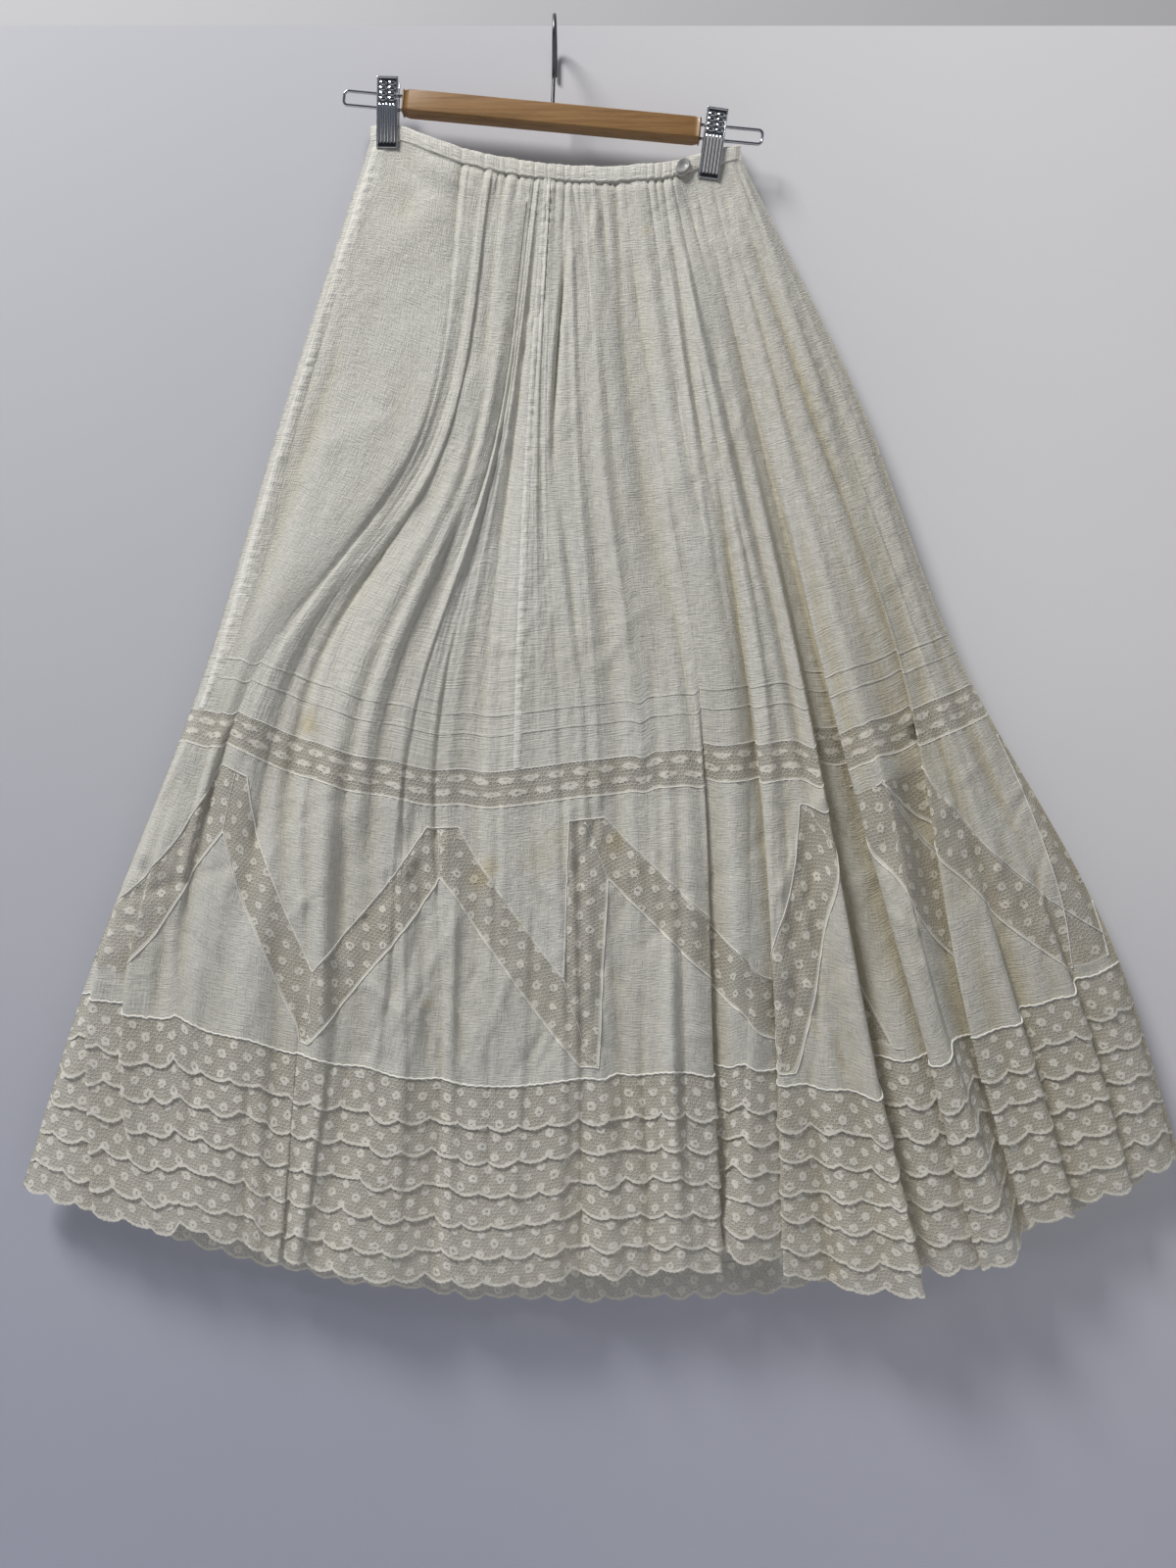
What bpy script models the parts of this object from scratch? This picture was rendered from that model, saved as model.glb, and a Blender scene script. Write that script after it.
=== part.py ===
"""Long lace skirt, clipped by its waistband to a wooden hanger.

Metres, +Z up, -Y towards the viewer. The origin is the seat of the hook, the
inside of its crown. Sizes in the tables are millimetres. The skirt is a folded
tube of thin walls: a front and a back sheet that meet at the two side edges.
A place on a sheet is given by its column, which follows a fold down the cloth,
and by its level, the length of cloth between it and the waist seam.
"""
import math
from collections import namedtuple

import bmesh
import bpy
import numpy as np

MM = 0.001

# Cloth walls
WALL = 1.0
SEAM_GAP = 0.3
SIDE_GAP = 0.2

# Levels down the cloth, from the waist seam
WAIST, HIP, TUCK, FLOUNCE, HEM = 0.0, 230.0, 458.0, 777.0, 953.0
LEVELS = (WAIST, HIP, TUCK, FLOUNCE, HEM)
BAND_HEIGHT = 12.5
TUCK_LEVELS = (458.0, 475.0)
TUCK_HEIGHT = 3.0
GORE_ROWS = (26.0, 90.0, 180.0, 300.0, 455.0, 478.0)
ONE_ROW, TWO_ROWS = (0.0, 1.0), (0.0, 0.5, 1.0)
LACE_TOP, LACE_BOTTOM = 506.0, 537.0
ZIG_TOP, ZIG_BOTTOM = 556.0, 767.0
ZIG_WIDTH = 31.0
TIER_COUNT = 6
TIER_FIRST = 36.0
TIER_FLARE = 0.8
BACK_LONGER = 20.0
COLUMN_GAP = 1.8
COLUMN_SHARE, SEAM_SHARE = 0.15, 0.004
SHARPEST = 0.7
STEEPEST = 12.0

# Sizes across are those seen on the plane of the hanger, Y = 0, from a place
# straight in front of this point at this distance. A fold that stands nearer
# covers more of that plane than its own width.
SIGHT_X, SIGHT_Z, SIGHT_DISTANCE = 28.6, -653.5, 971.0

# Side edges of the skirt at each level
LEFT_EDGE = (-158, -229, -296, -405, -457)
RIGHT_EDGE = (160, 259, 337, 484, 537)

# Waist seam: its height at places across it, as the band sags between the clips
WAIST_X = (-158, -140, -128, -113, -82, -49, -17, 15, 47, 80, 101, 122, 144, 160)
WAIST_Z = (
    -102.5, -101, -102.5, -108.5, -120, -127.7, -132.7, -136, -136.2, -134.2, -132, -127, -121, -117.5
)
SOFTEN = (-6.0, 0.0, 6.0)
PINCH_PLACES = (-143.0, 132.0)
PINCH_FLAT, PINCH_FADE, PINCH_LEFT = 17.0, 10.0, 0.1
PINCH_DOWN = 26.0

# How far the front and back stand out from the side edges at each level
FRONT_DEPTH = (4.0, 9.0, 14.0, 20.0, 24.0)
BACK_DEPTH = (3.0, 6.0, 8.0, 9.0, 10.0)
BULGE = (0.0, 0.0, 4.0, 14.0, 16.0)
BULGE_X = (120, 170, 225, 300, 350)
BULGE_WIDTH = 110.0

Fold = namedtuple(
    "Fold",
    # place at each level | width at the hem | lift forward, step and lap | levels
    # where it starts, is full and ends
    "waist hip tuck flounce hem width lift step lap start full end",
)
NO_END = 3000
# A lift above 0 is a ridge and below 0 a valley. A step above 0 has its left
# side in front. A lap is how far the front side covers the cloth behind it.
FRONT_FOLDS = (
    Fold(-150, -222, -290, -396, -394, 5, 0, -5, 4, 600, 780, NO_END),
    Fold(-145, -214, -281, -369, -360, 6, 0, -5, 3, 560, 760, 930),
    Fold(-139, -196, -272, -350, -340, 12, -4, 0, 0, 80, 300, 600),
    Fold(-80, -120, -252, -325, -320, 24, 6, 0, 0, 40, 260, 600),
    Fold(-70, -108, -236, -300, -300, 10, 0, 4, 0, 120, 300, 560),
    Fold(-60, -98, -222, -263, -268, 6, -3, 2, 0, 760, 860, NO_END),
    Fold(-50, -88, -196, -221, -238, 6, -2, 3, 2, 700, 840, NO_END),
    Fold(-30, -66, -160, -190, -215, 24, 5, 0, 0, 60, 300, 640),
    Fold(-20, -52, -130, -163, -202, 16, -6, 0, 0, 680, 800, NO_END),
    Fold(-15, -45, -95, -97, -109, 14, -6, 0, 0, 700, 860, NO_END),
    Fold(-12, -39, -74, -85, -90, 16, -8, -3, 0, 40, 300, 640),
    Fold(0, -5, 10, 20, 20, 10, -7, 0, 0, 760, 900, NO_END),
    Fold(12, 20, 39, 47, 57, 8, 0, 4, 0, 560, 800, NO_END),
    Fold(25, 42, 75, 90, 100, 8, 3, 3, 0, 60, 300, 600),
    Fold(58, 86, 122, 133, 140, 8, -3, 11, 6, 300, 760, NO_END),
    Fold(75, 110, 155, 164, 152, 6, -4, -3, 0, 600, 760, NO_END),
    Fold(89, 126, 167, 194, 199, 8, -3, -9, 4, 300, 760, NO_END),
    Fold(100, 140, 188, 218, 241, 10, -8, 0, 0, 700, 880, NO_END),
    Fold(110, 164, 212, 275, 313, 9, 0, 20, 10, 60, 800, NO_END),
    Fold(125, 180, 232, 323, 370, 7, 0, -12, 6, 160, 780, NO_END),
    Fold(131, 197, 255, 340, 395, 7, 0, 9, 3, 420, 800, NO_END),
    Fold(150, 217, 293, 360, 410, 8, -3, -8, 3, 60, 700, NO_END),
    Fold(153, 232, 305, 398, 444, 8, 0, 6, 3, 560, 780, NO_END),
    Fold(156, 245, 322, 445, 493, 8, 0, 6, 2, 620, 800, NO_END),
)
BACK_FOLDS = (
    Fold(-120, -170, -225, -305, -345, 26, -5, 0, 0, 60, 500, NO_END),
    Fold(-84, -120, -160, -215, -242, 18, 5, 2, 0, 40, 420, NO_END),
    Fold(-50, -72, -92, -122, -140, 24, -5, 0, 0, 80, 600, NO_END),
    Fold(-14, -22, -30, -38, -36, 20, 5, -2, 0, 30, 380, NO_END),
    Fold(24, 34, 46, 58, 70, 26, -5, 0, 0, 60, 500, NO_END),
    Fold(60, 88, 118, 152, 168, 18, 5, 2, 0, 90, 560, NO_END),
    Fold(92, 140, 184, 246, 272, 24, -5, 0, 0, 50, 480, NO_END),
    Fold(126, 194, 256, 350, 384, 22, 4, -2, 0, 70, 520, NO_END),
)

# How much lower the cloth hangs than its length, as it is cut and gathered unevenly:
# places of a column at each level | its drop at the hip, tucks, flounce and hem
Drop = namedtuple("Drop", "waist hip tuck flounce hem at_hip at_tuck at_flounce at_hem")
FRONT_DROPS = (
    Drop(-158, -229, -296, -405, -457, 0, 5, -6, -6),
    Drop(-140, -180, -225, -300, -335, 2, 18, 18, 20),
    Drop(-100, -130, -156, -215, -244, 4, 11, 14, 20),
    Drop(-60, -75, -81, -123, -155, 4, 12, 8, 10),
    Drop(-20, -25, -23, -37, -55, 0, 0, 3, 2),
    Drop(20, 25, 35, 40, 50, -3, -8, -7, -10),
    Drop(70, 85, 113, 127, 155, -5, -16, -10, -13),
    Drop(95, 125, 160, 172, 190, -6, -17, -9, -16),
    Drop(106, 145, 195, 225, 250, -6, -18, 10, 20),
    Drop(110, 163, 211, 272, 308, -6, -16, 10, 20),
    Drop(116, 170, 222, 285, 322, -6, -15, -6, 6),
    Drop(140, 210, 289, 345, 385, -6, -15, -1, 7),
    Drop(150, 240, 325, 400, 425, -6, -15, -9, -11),
    Drop(160, 259, 337, 484, 537, -6, -15, -17, -14),
)

# Centre line of the zigzag lace: valleys and peaks by turns, from the left edge
ZIG_FRONT = (-404, -276, -210, -99, 22, 30, 196, 222, 278, 257, 343, 303, 446, 400)
ZIG_BACK_PERIODS = 5.5

# Seams between the gores: where each passes the upper tuck
FRONT_SIDE_SEAM_X, FRONT_SEAM_X, BACK_SEAM_X = -286.0, -31.0, 32.0

# Hanger
TILT = math.radians(5.43)
BAR_LENGTH, BAR_HEIGHT, BAR_DEPTH = 256.0, 18.4, 14.0
BAR_ROUND, BAR_CHAMFER = 1.6, 0.6
BAR_CENTRE_X, BAR_CENTRE_Z = -2.5, -82.0
HOOK_RADIUS, HOOK_WIRE = 19.0, 1.6
HOOK_TIP_DROP, HOOK_LEAN = 16.0, 2.0
ROD_WIRE, ROD_SPREAD, ROD_CORNER = 1.3, 12.0, 3.6
LEFT_LOOP_X, RIGHT_LOOP_X = -180.5, 178.0
CLIP_WIDTH, CLIP_HEIGHT = 18.0, 59.0
CLIP_RIM = 2.0
CLIP_SHEET = 0.9
CLIP_LIP = 2.2
CLIP_TOP = 18.0
SPRING_LENGTH = 13.0
LEFT_CLIP_X, RIGHT_CLIP_X = -142.5, 137.0
LEFT_CLIP_LEAN, RIGHT_CLIP_LEAN = math.radians(1.0), math.radians(8.0)

# Waistband fittings
BUTTON_X = 109.5
BUTTON_RADIUS, BUTTON_THICKNESS = 6.5, 2.4
TAB_START, TAB_END = 101.0, 122.0
TAB_DROP = 3.5

COTTON = ("lawn", (0.78, 0.77, 0.72), 0.0, 0.85)
LACE = ("lace", (0.68, 0.65, 0.57), 0.0, 0.9)
BEECH = ("beech", (0.45, 0.28, 0.13), 0.0, 0.5)
STEEL = ("chrome", (0.7, 0.7, 0.72), 1.0, 0.15)
PEARL = ("pearl", (0.78, 0.78, 0.76), 0.0, 0.3)


def remove_old_objects():
    for obj in list(bpy.data.objects):
        bpy.data.objects.remove(obj, do_unlink=True)


def material(finish):
    name, colour, metallic, roughness = finish
    found = bpy.data.materials.get(name)
    if found:
        return found
    made = bpy.data.materials.new(name)
    made.use_nodes = True
    shader = made.node_tree.nodes["Principled BSDF"]
    shader.inputs["Base Color"].default_value = (*colour, 1.0)
    shader.inputs["Metallic"].default_value = metallic
    shader.inputs["Roughness"].default_value = roughness
    return made


def add_object(name, vertices, faces, finish, smooth=False):
    """One closed solid from points in millimetres, with its faces turned outwards."""
    mesh = bpy.data.meshes.new(name)
    points = np.asarray(vertices, dtype=float) * MM
    mesh.from_pydata(points.tolist(), [], faces)
    work = bmesh.new()
    work.from_mesh(mesh)
    bmesh.ops.recalc_face_normals(work, faces=work.faces)
    bmesh.ops.triangulate(work, faces=work.faces)
    work.to_mesh(mesh)
    work.free()
    mesh.materials.append(material(finish))
    if smooth:
        mesh.shade_smooth()
        mesh.set_sharp_from_angle(angle=math.radians(40))
    obj = bpy.data.objects.new(name, mesh)
    bpy.context.scene.collection.objects.link(obj)
    return obj


def ease(value):
    """Smooth rise from 0 to 1."""
    value = np.clip(value, 0.0, 1.0)
    return value * value * (3.0 - 2.0 * value)


def down(values, level):
    """Sizes given at the five levels (last axis), read smoothly at any level between them."""
    levels = np.asarray(LEVELS)
    values = np.asarray(values, dtype=float)
    level = np.clip(np.asarray(level, dtype=float), levels[0], levels[-1] + 40.0)
    values = np.broadcast_to(values, level.shape + levels.shape)
    slopes = np.gradient(values, levels, axis=-1)
    i = np.clip(np.searchsorted(levels, level, side="right") - 1, 0, len(levels) - 2)
    span = levels[i + 1] - levels[i]
    t = np.minimum((level - levels[i]) / span, 1.0)
    here, there = i[..., None], i[..., None] + 1
    value_0 = np.take_along_axis(values, here, -1)[..., 0]
    value_1 = np.take_along_axis(values, there, -1)[..., 0]
    slope_0 = np.take_along_axis(slopes, here, -1)[..., 0]
    slope_1 = np.take_along_axis(slopes, there, -1)[..., 0]
    curve = value_0 + (value_1 - value_0) * ease(t)
    curve = curve + span * (t * (1 - t) ** 2 * slope_0 + t * t * (t - 1) * slope_1)
    return curve + np.maximum(level - levels[-1], 0.0) * slopes[..., -1]


def fold_shift(folds, x, level):
    """Sideways and forward shift of the cloth by its folds.

    With t the distance from a fold in its widths, a ridge or valley is the bell
    exp(-t*t/2), and a step is the odd curve t*exp(-t*t/2), forward on one side
    and back on the other. The same odd curve sideways laps the cloth over itself.
    """
    side = np.zeros_like(x)
    forward = np.zeros_like(x)
    edges = np.minimum(x - down(LEFT_EDGE, level), down(RIGHT_EDGE, level) - x)
    for fold in folds:
        place = down(fold[:5], level)
        width = fold.width * (0.3 + 0.7 * np.clip(level, 0, HEM) / HEM)
        t = (x - place) / width
        bell = np.exp(-0.5 * t * t)
        size = ease((level - fold.start) / (fold.full - fold.start))
        size = size * (1.0 - ease((level - fold.end) / 120.0 + 1.0))
        forward = forward + size * (fold.lift - fold.step * t) * bell
        if fold.lap:
            pull = (0.5 * fold.lap + 0.75 * width) / 0.566
            side = side - size * pull * t * bell
    mask = 1.0 - np.exp(-((np.maximum(edges, 0.0) / 6.0) ** 2))
    return side * mask, forward * mask


def waist_height(x):
    """Height of the waist seam: its table read straight, softened over a few millimetres."""
    return sum(np.interp(x + shift, WAIST_X, WAIST_Z) for shift in SOFTEN) / len(SOFTEN)


def extra_drop(front, x, level):
    """How much lower the cloth hangs at each place, read from the table between its columns."""
    table = np.array(FRONT_DROPS if front else (FRONT_DROPS[0], FRONT_DROPS[-1]), dtype=float)
    at = np.broadcast_to(level[..., None], level.shape + (len(table),))
    places = down(table[:, :5], at)
    drops = down(np.column_stack([np.zeros(len(table)), table[:, 5:]]), at)
    total = np.zeros_like(x)
    for shift in SOFTEN:
        share = (x[..., None] + shift - places[..., :-1]) / np.diff(places, axis=-1)
        total += drops[..., 0] + (np.clip(share, 0.0, 1.0) * np.diff(drops, axis=-1)).sum(axis=-1)
    return total / len(SOFTEN)


def pinch(x, level):
    """How far the cloth still stands out where the clips press its layers together."""
    held = np.zeros_like(x)
    for place in PINCH_PLACES:
        away = np.maximum(np.abs(x - place) - PINCH_FLAT, 0.0) / PINCH_FADE
        held = np.maximum(held, np.exp(-away * away))
    held = held * (1.0 - ease((level - PINCH_DOWN) / 60.0))
    return 1.0 - (1.0 - PINCH_LEFT) * held


def nearer(x, y, z):
    """Brings a point of the hanger's plane to depth y along the line of sight."""
    share = (SIGHT_DISTANCE + y) / SIGHT_DISTANCE
    return SIGHT_X + (x - SIGHT_X) * share, y, SIGHT_Z + (z - SIGHT_Z) * share


class Sheet:
    """The front or the back of the skirt: its columns and the surface through them."""

    def __init__(self, front, tracks):
        self.front = front
        self.folds = FRONT_FOLDS if front else BACK_FOLDS
        self.depths = FRONT_DEPTH if front else BACK_DEPTH
        self.tracks = np.asarray(tracks, dtype=float)

    def column_count(self):
        return len(self.tracks)

    def across(self, column, level):
        """Place across the hanger's plane of a column at a level."""
        column, level = np.broadcast_arrays(column, level)
        column = np.clip(column, 0, len(self.tracks) - 1)
        low = np.minimum(np.floor(column).astype(int), len(self.tracks) - 2)
        part = (column - low)[..., None]
        return down(self.tracks[low] * (1 - part) + self.tracks[low + 1] * part, level)

    def surface(self, column, level):
        """Point of the inner face of the cloth for each column and level, in millimetres."""
        column, level = np.broadcast_arrays(
            np.asarray(column, dtype=float), np.asarray(level, dtype=float)
        )
        x = self.across(column, level)
        start = self.across(column, np.zeros_like(level))
        steps = 24
        fall = np.zeros_like(level)
        before = start
        for k in range(1, steps + 1):
            now = self.across(column, level * k / steps)
            length = level / steps
            fall = fall + np.sqrt(np.maximum(length**2 - (now - before) ** 2, 0.0))
            before = now
        fall = fall + extra_drop(self.front, x, level)
        left, right = down(LEFT_EDGE, level), down(RIGHT_EDGE, level)
        t = np.clip((x - left) / (right - left) * 2.0 - 1.0, -1.0, 1.0)
        round_edge = (1.0 - t**4) ** 0.6
        side, forward = fold_shift(self.folds, x, level)
        depth = down(self.depths, level) * round_edge * pinch(x, level)
        if self.front:
            bell = np.exp(-(((x - down(BULGE_X, level)) / BULGE_WIDTH) ** 2))
            bulge = down(BULGE, level) * bell * round_edge
            fall = fall + forward + bulge
            y = -(SIDE_GAP + np.maximum(depth + bulge + forward, 0.0))
        else:
            longer = BACK_LONGER * ease(level / LACE_TOP) * (1.0 - t**4)
            fall = fall + longer
            y = SIDE_GAP + np.maximum(depth + forward, 0.0)
        return nearer(x + side, y, waist_height(start) - fall)

    def out(self, column, level):
        """Outward direction at each point, longer at a sharp turn to keep the wall's thickness.

        It halves the angle between the runs to the columns before and after.
        """
        column, level = np.broadcast_arrays(
            np.asarray(column, dtype=float), np.asarray(level, dtype=float)
        )
        last = self.column_count() - 1
        here = np.stack(self.surface(column, level)[:2], axis=-1)
        before = np.stack(self.surface(np.maximum(np.ceil(column) - 1, 0), level)[:2], axis=-1)
        after = np.stack(self.surface(np.minimum(np.floor(column) + 1, last), level)[:2], axis=-1)
        runs = []
        for run in (here - before, after - here):
            size = np.hypot(run[..., 0], run[..., 1])[..., None]
            runs.append(np.where(size > 1e-6, run / np.maximum(size, 1e-6), 0.0))
        total = runs[0] + runs[1]
        size = np.hypot(total[..., 0], total[..., 1])
        turn = np.where(size > 1.001, 0.5 * size, 1.0)
        reach = (1.0 if self.front else -1.0) / np.maximum(turn, SHARPEST) / np.maximum(size, 1e-6)
        return total[..., 1] * reach, -total[..., 0] * reach

    def raised(self, column, level, height):
        """The surface moved out by a height, for the outer face and what lies on it."""
        x, y, z = self.surface(column, level)
        nx, ny = self.out(column, level)
        return np.stack([x + nx * height, y + ny * height, z], axis=-1)

    def column_at(self, x, level):
        """The column that passes a place across the hanger's plane at a level."""
        ladder = np.linspace(0, len(self.tracks) - 1, 8 * (len(self.tracks) - 1) + 1)
        places = self.across(ladder, np.full_like(ladder, level))
        return np.interp(x, places, ladder)


def thin_out(tracks, least):
    """Drops columns that lie closer than a distance to the one before, keeping both ends."""
    tracks = sorted(tracks, key=lambda row: row[3])
    kept = [tracks[0]]
    for row in tracks[1:-1]:
        if row[3] - kept[-1][3] >= least and tracks[-1][3] - row[3] >= least:
            kept.append(row)
    return kept + [tracks[-1]]


def fill_in(tracks, widest):
    """Adds columns half way where two lie further apart than a distance."""
    filled = [tracks[0]]
    for row in tracks[1:]:
        parts = int(math.ceil((row[3] - filled[-1][3]) / widest))
        before = np.asarray(filled[-1], dtype=float)
        for k in range(1, parts):
            filled.append(tuple(before + (np.asarray(row) - before) * k / parts))
        filled.append(tuple(row))
    return filled


def apart(tracks):
    """Keeps the columns in order and a least distance apart at every level."""
    for i in range(1, len(tracks)):
        tracks[i] = np.maximum(tracks[i], tracks[i - 1] + COLUMN_GAP)
    tracks[-1] = RIGHT_EDGE
    for i in range(len(tracks) - 2, 0, -1):
        tracks[i] = np.minimum(tracks[i], tracks[i + 1] - COLUMN_GAP)
    return tracks


def fold_tracks(folds, widest, least):
    """Columns of a sheet: its edges, one on each soft fold and a pair on each step."""
    tracks = [tuple(map(float, LEFT_EDGE)), tuple(map(float, RIGHT_EDGE))]
    for fold in folds:
        places = np.asarray(fold[:5], dtype=float)
        widths = fold.width * (0.3 + 0.7 * np.asarray(LEVELS) / HEM)
        sides = (-1.0, 1.0) if fold.lap else (0.0,)
        for side in sides:
            row = places + side * widths
            row = np.clip(row, np.asarray(LEFT_EDGE) + 1.0, np.asarray(RIGHT_EDGE) - 1.0)
            tracks.append(tuple(row))
    return apart(np.asarray(fill_in(thin_out(tracks, least), widest)))


def zig_lines(sheet):
    """Upper and lower edge of the zigzag lace, as levels over the columns.

    The centre line runs from valley to peak. Each edge is that line moved half the
    lace's width square to it, mitred at the turns, and cut off flat at the top and
    bottom of the band.
    """
    middle = 0.5 * (ZIG_TOP + ZIG_BOTTOM)
    high, low = ZIG_TOP + 0.4 * ZIG_WIDTH, ZIG_BOTTOM - 0.9 * ZIG_WIDTH
    if sheet.front:
        places = np.asarray(ZIG_FRONT, dtype=float)
        levels = np.where(np.arange(len(places)) % 2 == 0, low, high)
        columns = [sheet.column_at(x, level) for x, level in zip(places, levels)]
    else:
        count = int(2 * ZIG_BACK_PERIODS) + 1
        left, right = down(LEFT_EDGE, middle), down(RIGHT_EDGE, middle)
        places = np.linspace(left, right, count)
        levels = np.where(np.arange(count) % 2 == 0, low, high)
        columns = [sheet.column_at(x, middle) for x in places]
    ladder = np.linspace(0, sheet.column_count() - 1, 12 * sheet.column_count())
    flat = sheet.across(ladder, np.full_like(ladder, middle))
    line = np.stack([np.interp(columns, ladder, flat), levels], axis=1)
    line[0, 0] -= 2.0
    line[-1, 0] += 2.0
    upper, lower = offset_line(line, 0.5 * ZIG_WIDTH)

    def edge(points):
        order = np.maximum.accumulate(points[:, 0])
        at = np.interp(ladder, ladder, flat)
        return ladder, np.clip(np.interp(at, order, points[:, 1]), ZIG_TOP, ZIG_BOTTOM)

    return edge(upper), edge(lower)


def offset_line(line, distance):
    """A line across and down, moved up and moved down by a distance, mitred at its turns."""
    runs = np.diff(line, axis=0)
    runs = runs / np.linalg.norm(runs, axis=1, keepdims=True)
    normals = np.stack([runs[:, 1], -runs[:, 0]], axis=1)
    normals = normals * np.where(normals[:, 1:2] > 0, -1.0, 1.0)
    before = np.vstack([normals[:1], normals])
    after = np.vstack([normals, normals[-1:]])
    total = before + after
    mitre = total / np.maximum((total * before).sum(axis=1, keepdims=True), 0.12)
    return line + mitre * distance, line - mitre * distance


def slanted_gap(flat, edge):
    """Half a seam's gap measured down the cloth, for an edge that runs at a slant."""
    slope = np.abs(np.diff(edge) / np.diff(flat))
    slope = np.maximum(np.append(slope, slope[-1]), np.insert(slope, 0, slope[0]))
    return SEAM_GAP / 2 * np.sqrt(1.0 + np.minimum(slope, STEEPEST) ** 2)


def add_panel(name, sheet, columns, top, bottom, shares, finish, lift=(0.0, 0.0)):
    """A wall of cloth between two lines that run across the sheet.

    top and bottom give the level at each column, and shares where each row of points
    lies between them. The inner face follows the sheet, moved out by lift at the top
    and at the bottom, and the outer face is one wall thickness further out.
    """
    columns = np.asarray(columns, dtype=float)
    share = np.asarray(shares, dtype=float)[:, None]
    levels = top[None, :] * (1 - share) + bottom[None, :] * share
    heights = lift[0] * (1 - share) + lift[1] * share + np.zeros_like(levels)
    grid = np.broadcast_to(columns[None, :], levels.shape)
    inner = sheet.raised(grid, levels, heights)
    outer = sheet.raised(grid, levels, heights + WALL)
    return add_wall(name, inner, outer, finish)


def add_wall(name, inner, outer, finish):
    """Closed solid between two grids of points."""
    rows, cols = inner.shape[:2]
    size = rows * cols
    vertices = np.concatenate([inner.reshape(-1, 3), outer.reshape(-1, 3)])
    index = np.arange(size).reshape(rows, cols)
    faces = []
    for r in range(rows - 1):
        for c in range(cols - 1):
            a, b = index[r, c], index[r, c + 1]
            d, e = index[r + 1, c], index[r + 1, c + 1]
            faces.append((a, b, e, d))
            faces.append((a + size, d + size, e + size, b + size))
    rim = list(index[0, :]) + list(index[1:, -1])
    turn = len(rim)
    rim += list(index[-1, -2::-1]) + list(index[-2:0:-1, 0])
    for number, (a, b) in enumerate(zip(rim, rim[1:] + rim[:1]), start=1):
        # both rims of a seam are split alike, so that neighbours never cross
        if number < turn:
            faces += [(a, a + size, b + size), (a, b + size, b)]
        else:
            faces += [(a, a + size, b), (a + size, b + size, b)]
    return add_object(name, vertices, [tuple(map(int, f)) for f in faces], finish)


def band_levels(columns, level):
    return np.full(len(columns), float(level))


def seam_sides(sheet):
    """Columns just left and just right of each seam between the gores."""
    seams = (FRONT_SIDE_SEAM_X, FRONT_SEAM_X) if sheet.front else (BACK_SEAM_X,)
    half = SEAM_SHARE * (sheet.column_count() - 1)
    cuts = [sheet.column_at(seam, TUCK) for seam in seams]
    return [(cut - half, cut + half) for cut in cuts]


def panel_columns(sheet):
    """Columns that every panel shares: the sheet's own, and both sides of each seam."""
    columns = np.arange(0, sheet.column_count(), dtype=float)
    for left, right in seam_sides(sheet):
        clear = (columns < left - COLUMN_SHARE) | (columns > right + COLUMN_SHARE)
        columns = np.sort(np.append(columns[clear], (left, right)))
    return columns


def add_gores(front, back):
    """Upper cloth, cut in gores whose seams run down the skirt."""
    top, bottom = SEAM_GAP, LACE_TOP - SEAM_GAP / 2
    for sheet, names in (
        (front, ("front_side_gore", "front_left_gore", "front_right_gore")),
        (back, ("back_left_gore", "back_right_gore")),
    ):
        sides = seam_sides(sheet)
        starts = [0.0] + [right for _, right in sides]
        stops = [left for left, _ in sides] + [sheet.column_count() - 1.0]
        shared = panel_columns(sheet)
        for name, start, stop in zip(names, starts, stops):
            columns = shared[(shared >= start) & (shared <= stop)]
            add_panel(
                name,
                sheet,
                columns,
                band_levels(columns, top),
                band_levels(columns, bottom),
                (np.array([top, *GORE_ROWS, bottom]) - top) / (bottom - top),
                COTTON,
            )


def add_tucks(sheet, side):
    """Pin tucks: thin strips that lie on the gores."""
    columns = panel_columns(sheet)
    for number, level in enumerate(TUCK_LEVELS, start=1):
        lift = WALL + SEAM_GAP
        add_panel(
            f"{side}_tuck_{number}",
            sheet,
            columns,
            band_levels(columns, level - TUCK_HEIGHT / 2),
            band_levels(columns, level + TUCK_HEIGHT / 2),
            ONE_ROW,
            COTTON,
            (lift, lift),
        )


def add_lower_cloth(sheet, side):
    """Straight lace, the cloth above the zigzag, the zigzag lace and the cloth below."""
    columns = panel_columns(sheet)
    half = SEAM_GAP / 2
    (ladder, upper), (_, lower) = zig_lines(sheet)
    zig_top = np.interp(columns, ladder, upper)
    zig_bottom = np.maximum(np.interp(columns, ladder, lower), zig_top + 8.0)
    zig_bottom = np.minimum(zig_bottom, ZIG_BOTTOM)
    zig_top = np.minimum(zig_top, zig_bottom - 8.0)
    flat = sheet.across(columns, np.full_like(columns, 0.5 * (ZIG_TOP + ZIG_BOTTOM)))
    lace_top = band_levels(columns, LACE_TOP)
    lace_bottom = band_levels(columns, LACE_BOTTOM)
    seam = band_levels(columns, FLOUNCE)
    gap_top, gap_bottom = slanted_gap(flat, zig_top), slanted_gap(flat, zig_bottom)
    panels = (
        ("straight_lace", lace_top + half, lace_bottom - half, ONE_ROW, LACE),
        ("cloth_above_zigzag", lace_bottom + half, zig_top - gap_top, ONE_ROW, COTTON),
        ("zigzag_lace", zig_top + gap_top, zig_bottom - gap_bottom, ONE_ROW, LACE),
        ("cloth_below_zigzag", zig_bottom + gap_bottom, seam - half, TWO_ROWS, COTTON),
    )
    for name, top, bottom, rows, finish in panels:
        add_panel(f"{side}_{name}", sheet, columns, top, bottom, rows, finish)


def tier_levels():
    """Top edge of each tier of lace edging, and the hem."""
    rest = (HEM - FLOUNCE - TIER_FIRST) / (TIER_COUNT - 1)
    return [FLOUNCE] + [FLOUNCE + TIER_FIRST + rest * k for k in range(TIER_COUNT)]


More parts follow.
